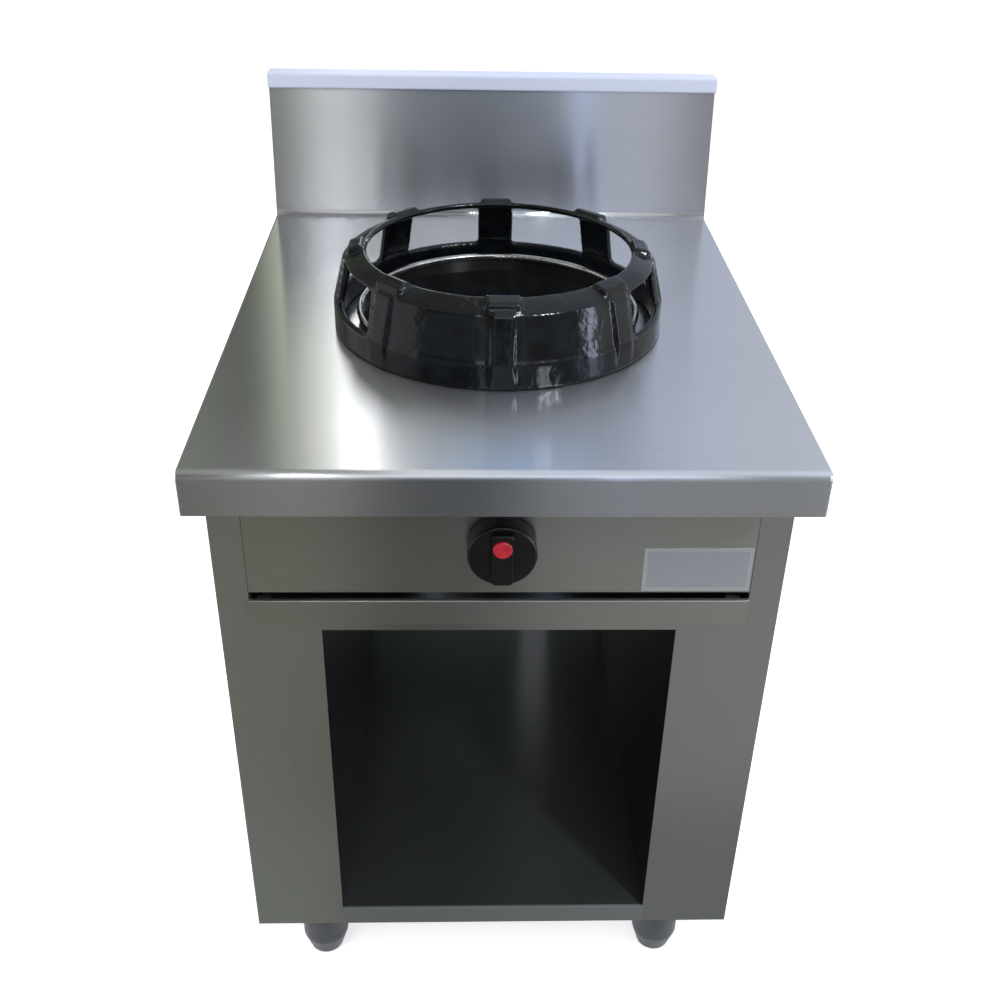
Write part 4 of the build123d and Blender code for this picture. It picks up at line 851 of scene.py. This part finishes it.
def card(name, x, y, z, tones, strength=1.0):
    """A flat card between the given X, Y and Z, one of them a single value.

    Tones is one colour, or (X, colour) pairs from left to right.
    """
    spans = [span if isinstance(span, tuple) else (span, span) for span in (x, y, z)]
    first, second = [axis for axis in range(3) if spans[axis][0] != spans[axis][1]]
    corners = []
    for end_1, end_2 in ((0, 0), (1, 0), (1, 1), (0, 1)):
        corner = [span[0] for span in spans]
        corner[first] = spans[first][end_1]
        corner[second] = spans[second][end_2]
        corners.append(corner)
    mesh = bpy.data.meshes.new(name)
    mesh.from_pydata(corners, [], [(0, 1, 2, 3)])
    made = bpy.data.objects.new(name, mesh)
    bpy.context.scene.collection.objects.link(made)
    paint, tree = begin(name)
    if isinstance(tones, str):
        glow = add(tree, "ShaderNodeEmission", {"Color": linear(tones), "Strength": strength})
    else:
        place = add(tree, "ShaderNodeTexCoord")
        across = add(tree, "ShaderNodeSeparateXYZ", {0: place.outputs["Object"]})
        share = add(
            tree,
            "ShaderNodeMapRange",
            {"Value": across.outputs["X"], "From Min": x[0], "From Max": x[1]},
        )
        ramp = add(tree, "ShaderNodeValToRGB", {0: share.outputs[0]})
        steps = ramp.color_ramp.elements     # a new ramp has two steps, and one is enough to begin
        steps.remove(steps[1])
        for number, (at, colour) in enumerate(tones):
            step = steps[0] if number == 0 else steps.new(1.0)
            step.position = (at - x[0]) / (x[1] - x[0])
            step.color = linear(colour)
        glow = add(tree, "ShaderNodeEmission", {"Color": ramp.outputs[0], "Strength": strength})
    add(tree, "ShaderNodeOutputMaterial", {"Surface": glow.outputs[0]})
    mesh.materials.append(paint)
    for ray in ("camera", "diffuse", "transmission", "volume_scatter", "shadow"):
        setattr(made, f"visible_{ray}", False)
    return made


print("the room of cards is", BACK_WALL_Y - FRONT_WALL_Y, "m deep and", CEILING_Z, "m high")

# %% [markdown]
# ## Behind the range
# Seen from the camera, the worktop mirrors the wall behind the range. A bright window stands left of the
# middle, and the wall darkens to both sides of it. That gives the worktop its broad bright band.

# %% Cards behind
card(
    "back_wall_card",
    WALL_ENDS,
    BACK_WALL_Y,
    (0.3, CEILING_Z),
    (
        (-1.00, "#595d51"),
        (-0.86, "#2e322a"),
        (-0.77, "#36392e"),
        (-0.71, "#818776"),
        (-0.62, "#c4c8b7"),
        (-0.53, "#f5f8eb"),
        (-0.34, "#f5f6f6"),
        (-0.27, "#caced2"),
        (-0.20, "#939ca8"),
        (-0.08, "#8b9eb2"),
        (0.14, "#7394bd"),
        (0.30, "#8196b4"),
        (0.48, "#738298"),
        (0.56, "#717a8a"),
        (0.66, "#7d899d"),
        (0.78, "#8f96a4"),
        (0.92, "#969aa6"),
    ),
    2.2,
)
card("back_window_card", (-0.475, -0.355), BACK_WALL_Y - 0.02, (0.9, CEILING_Z), "#ffffff", 5.0)
print("cards behind: wall and window")

# %% [markdown]
# ## In front of the range
# The backsplash mirrors the wall that the cook's back is turned to. Its upper part is passed on: the
# backsplash throws it down onto the worktop, which shows it once more. So the wall is cut into strips by
# height, and each is toned by itself. Two small, strong cards near the top stand for lamps.

# %% Cards in front
card(
    "front_wall_card",
    WALL_ENDS,
    FRONT_WALL_Y,
    (0.62, 1.9),
    (
        (-0.74, "#989a9b"),
        (-0.68, "#aaacab"),
        (-0.59, "#e6e8e3"),
        (-0.44, "#d2d6d5"),
        (-0.36, "#bfc4c5"),
        (-0.29, "#868c92"),
        (-0.22, "#6c737a"),
        (0.05, "#636b73"),
        (0.15, "#757c85"),
        (0.45, "#b4b9c2"),
        (0.62, "#cfd2dc"),
        (0.74, "#c4c6cc"),
        (0.88, "#9d9d9e"),
    ),
)
card("front_window_card", (0.38, 0.42), FRONT_WALL_Y + 0.02, (0.4, 1.9), "#c4d4ff", 2.4)
card(
    "front_high_card",
    WALL_ENDS,
    FRONT_WALL_Y,
    (1.9, 3.3),
    (
        (-0.80, "#202020"),
        (-0.71, "#303030"),
        (-0.64, "#f7f8f4"),
        (-0.52, "#fcfffc"),
        (-0.40, "#b1b5bc"),
        (0.50, "#acb3c0"),
        (0.76, "#b1b7c5"),
        (0.88, "#585a62"),
    ),
    4.1,
)
card("front_top_card", WALL_ENDS, FRONT_WALL_Y, (3.3, CEILING_Z), "#8a8d92")
card(
    "front_low_card",
    WALL_ENDS,
    FRONT_WALL_Y,
    (0.02, 0.62),
    (
        (-0.35, "#93948e"),
        (-0.20, "#55575a"),
        (0.08, "#5b5e64"),
        (0.20, "#a9aeb8"),
        (0.60, "#b0b4bd"),
    ),
)
card("front_lamp_card_1", (-0.63, -0.57), FRONT_WALL_Y + 0.1, (3.0, 3.4), "#f4f8ff", 60.0)
card("front_lamp_card_2", (1.65, 1.95), FRONT_WALL_Y + 0.1, (2.7, 3.55), "#f4f8ff", 150.0)
print("cards in front: four strips, one window and two lamps")

# %% [markdown]
# ## Overhead
# The rolled front edge of the worktop, the bead and the crown of the ring are round, so somewhere on each
# of them is a line that mirrors what is overhead. One pale ceiling gives them all their highlight.

# %% Ceiling card
card(
    "ceiling_card",
    WALL_ENDS,
    (FRONT_WALL_Y, BACK_WALL_Y),
    CEILING_Z,
    (
        (-0.36, "#9fa09d"),
        (-0.29, "#dee0dd"),
        (-0.22, "#fbfbf6"),
        (-0.05, "#f2f6f8"),
        (0.10, "#e1e9f8"),
        (0.50, "#e5ecf8"),
    ),
    1.3,
)

print("ceiling at", CEILING_Z, "m")

# %% [markdown]
# ## On the floor ahead
# The camera looks down on the upright sheets, so they mirror the floor ahead of the range and not the wall.
# Three cards lie there, one behind another. The higher a point is, the farther off it mirrors. So the card
# at the feet is for the lower uprights, the middle one for the upper uprights, the tray and the panel, and
# the farthest for the lip.

# %% Floor cards ahead
card(
    "near_floor_card",
    AHEAD_ENDS,
    (-1.58, -0.62),
    ON_FLOOR_Z,
    (
        (-0.30, "#8e8f85"),
        (-0.19, "#5c5d56"),
        (-0.04, "#5c5d58"),
        (0.14, "#9a9b97"),
        (0.50, "#a2a3a0"),
    ),
)
card(
    "foot_floor_card",
    AHEAD_ENDS,
    (-0.62, -0.31),
    ON_FLOOR_Z,
    ((-0.25, "#90928c"), (-0.10, "#5f605c"), (0.10, "#80827f"), (0.25, "#838582")),
)
card(
    "far_floor_card",
    AHEAD_ENDS,
    (-2.59, -1.58),
    ON_FLOOR_Z,
    (
        (-0.30, "#5c5d55"),
        (-0.15, "#1c1d1c"),
        (0.03, "#1c1d1d"),
        (0.17, "#6e6e6a"),
        (0.50, "#7c7c78"),
    ),
)

print("three cards lie on the floor ahead, between Y -0.31 and -2.59 m")

# %% [markdown]
# ## At the sides, in the cavity and in the enamel
# The range is also looked at from the sides and from behind, so the floor is grey there too. One narrow
# card stands in the cavity, before the back panel, for the soft band of light that the shelf shows. The
# last is a tall window to the right, which the glossy enamel of the ring shows as one upright streak.

# %% Side cards and windows
SIDE_REACH = (-0.31, 0.4)
card("left_floor_card", (-4.0, -0.31), SIDE_REACH, ON_FLOOR_Z, "#a6a8a6")
card("right_floor_card", (0.31, 4.0), SIDE_REACH, ON_FLOOR_Z, "#a6a8a6")
card("rear_floor_card", WALL_ENDS, (0.4, 2.59), ON_FLOOR_Z, "#b0b2b1")
card("cavity_card", (0.062, 0.105), 0.32, (0.17, 0.42), "#f6f8ff", 0.26)
card("right_window_card", 2.5, (-1.45, -1.15), (0.05, 2.2), "#dfe6ff", 14.0)
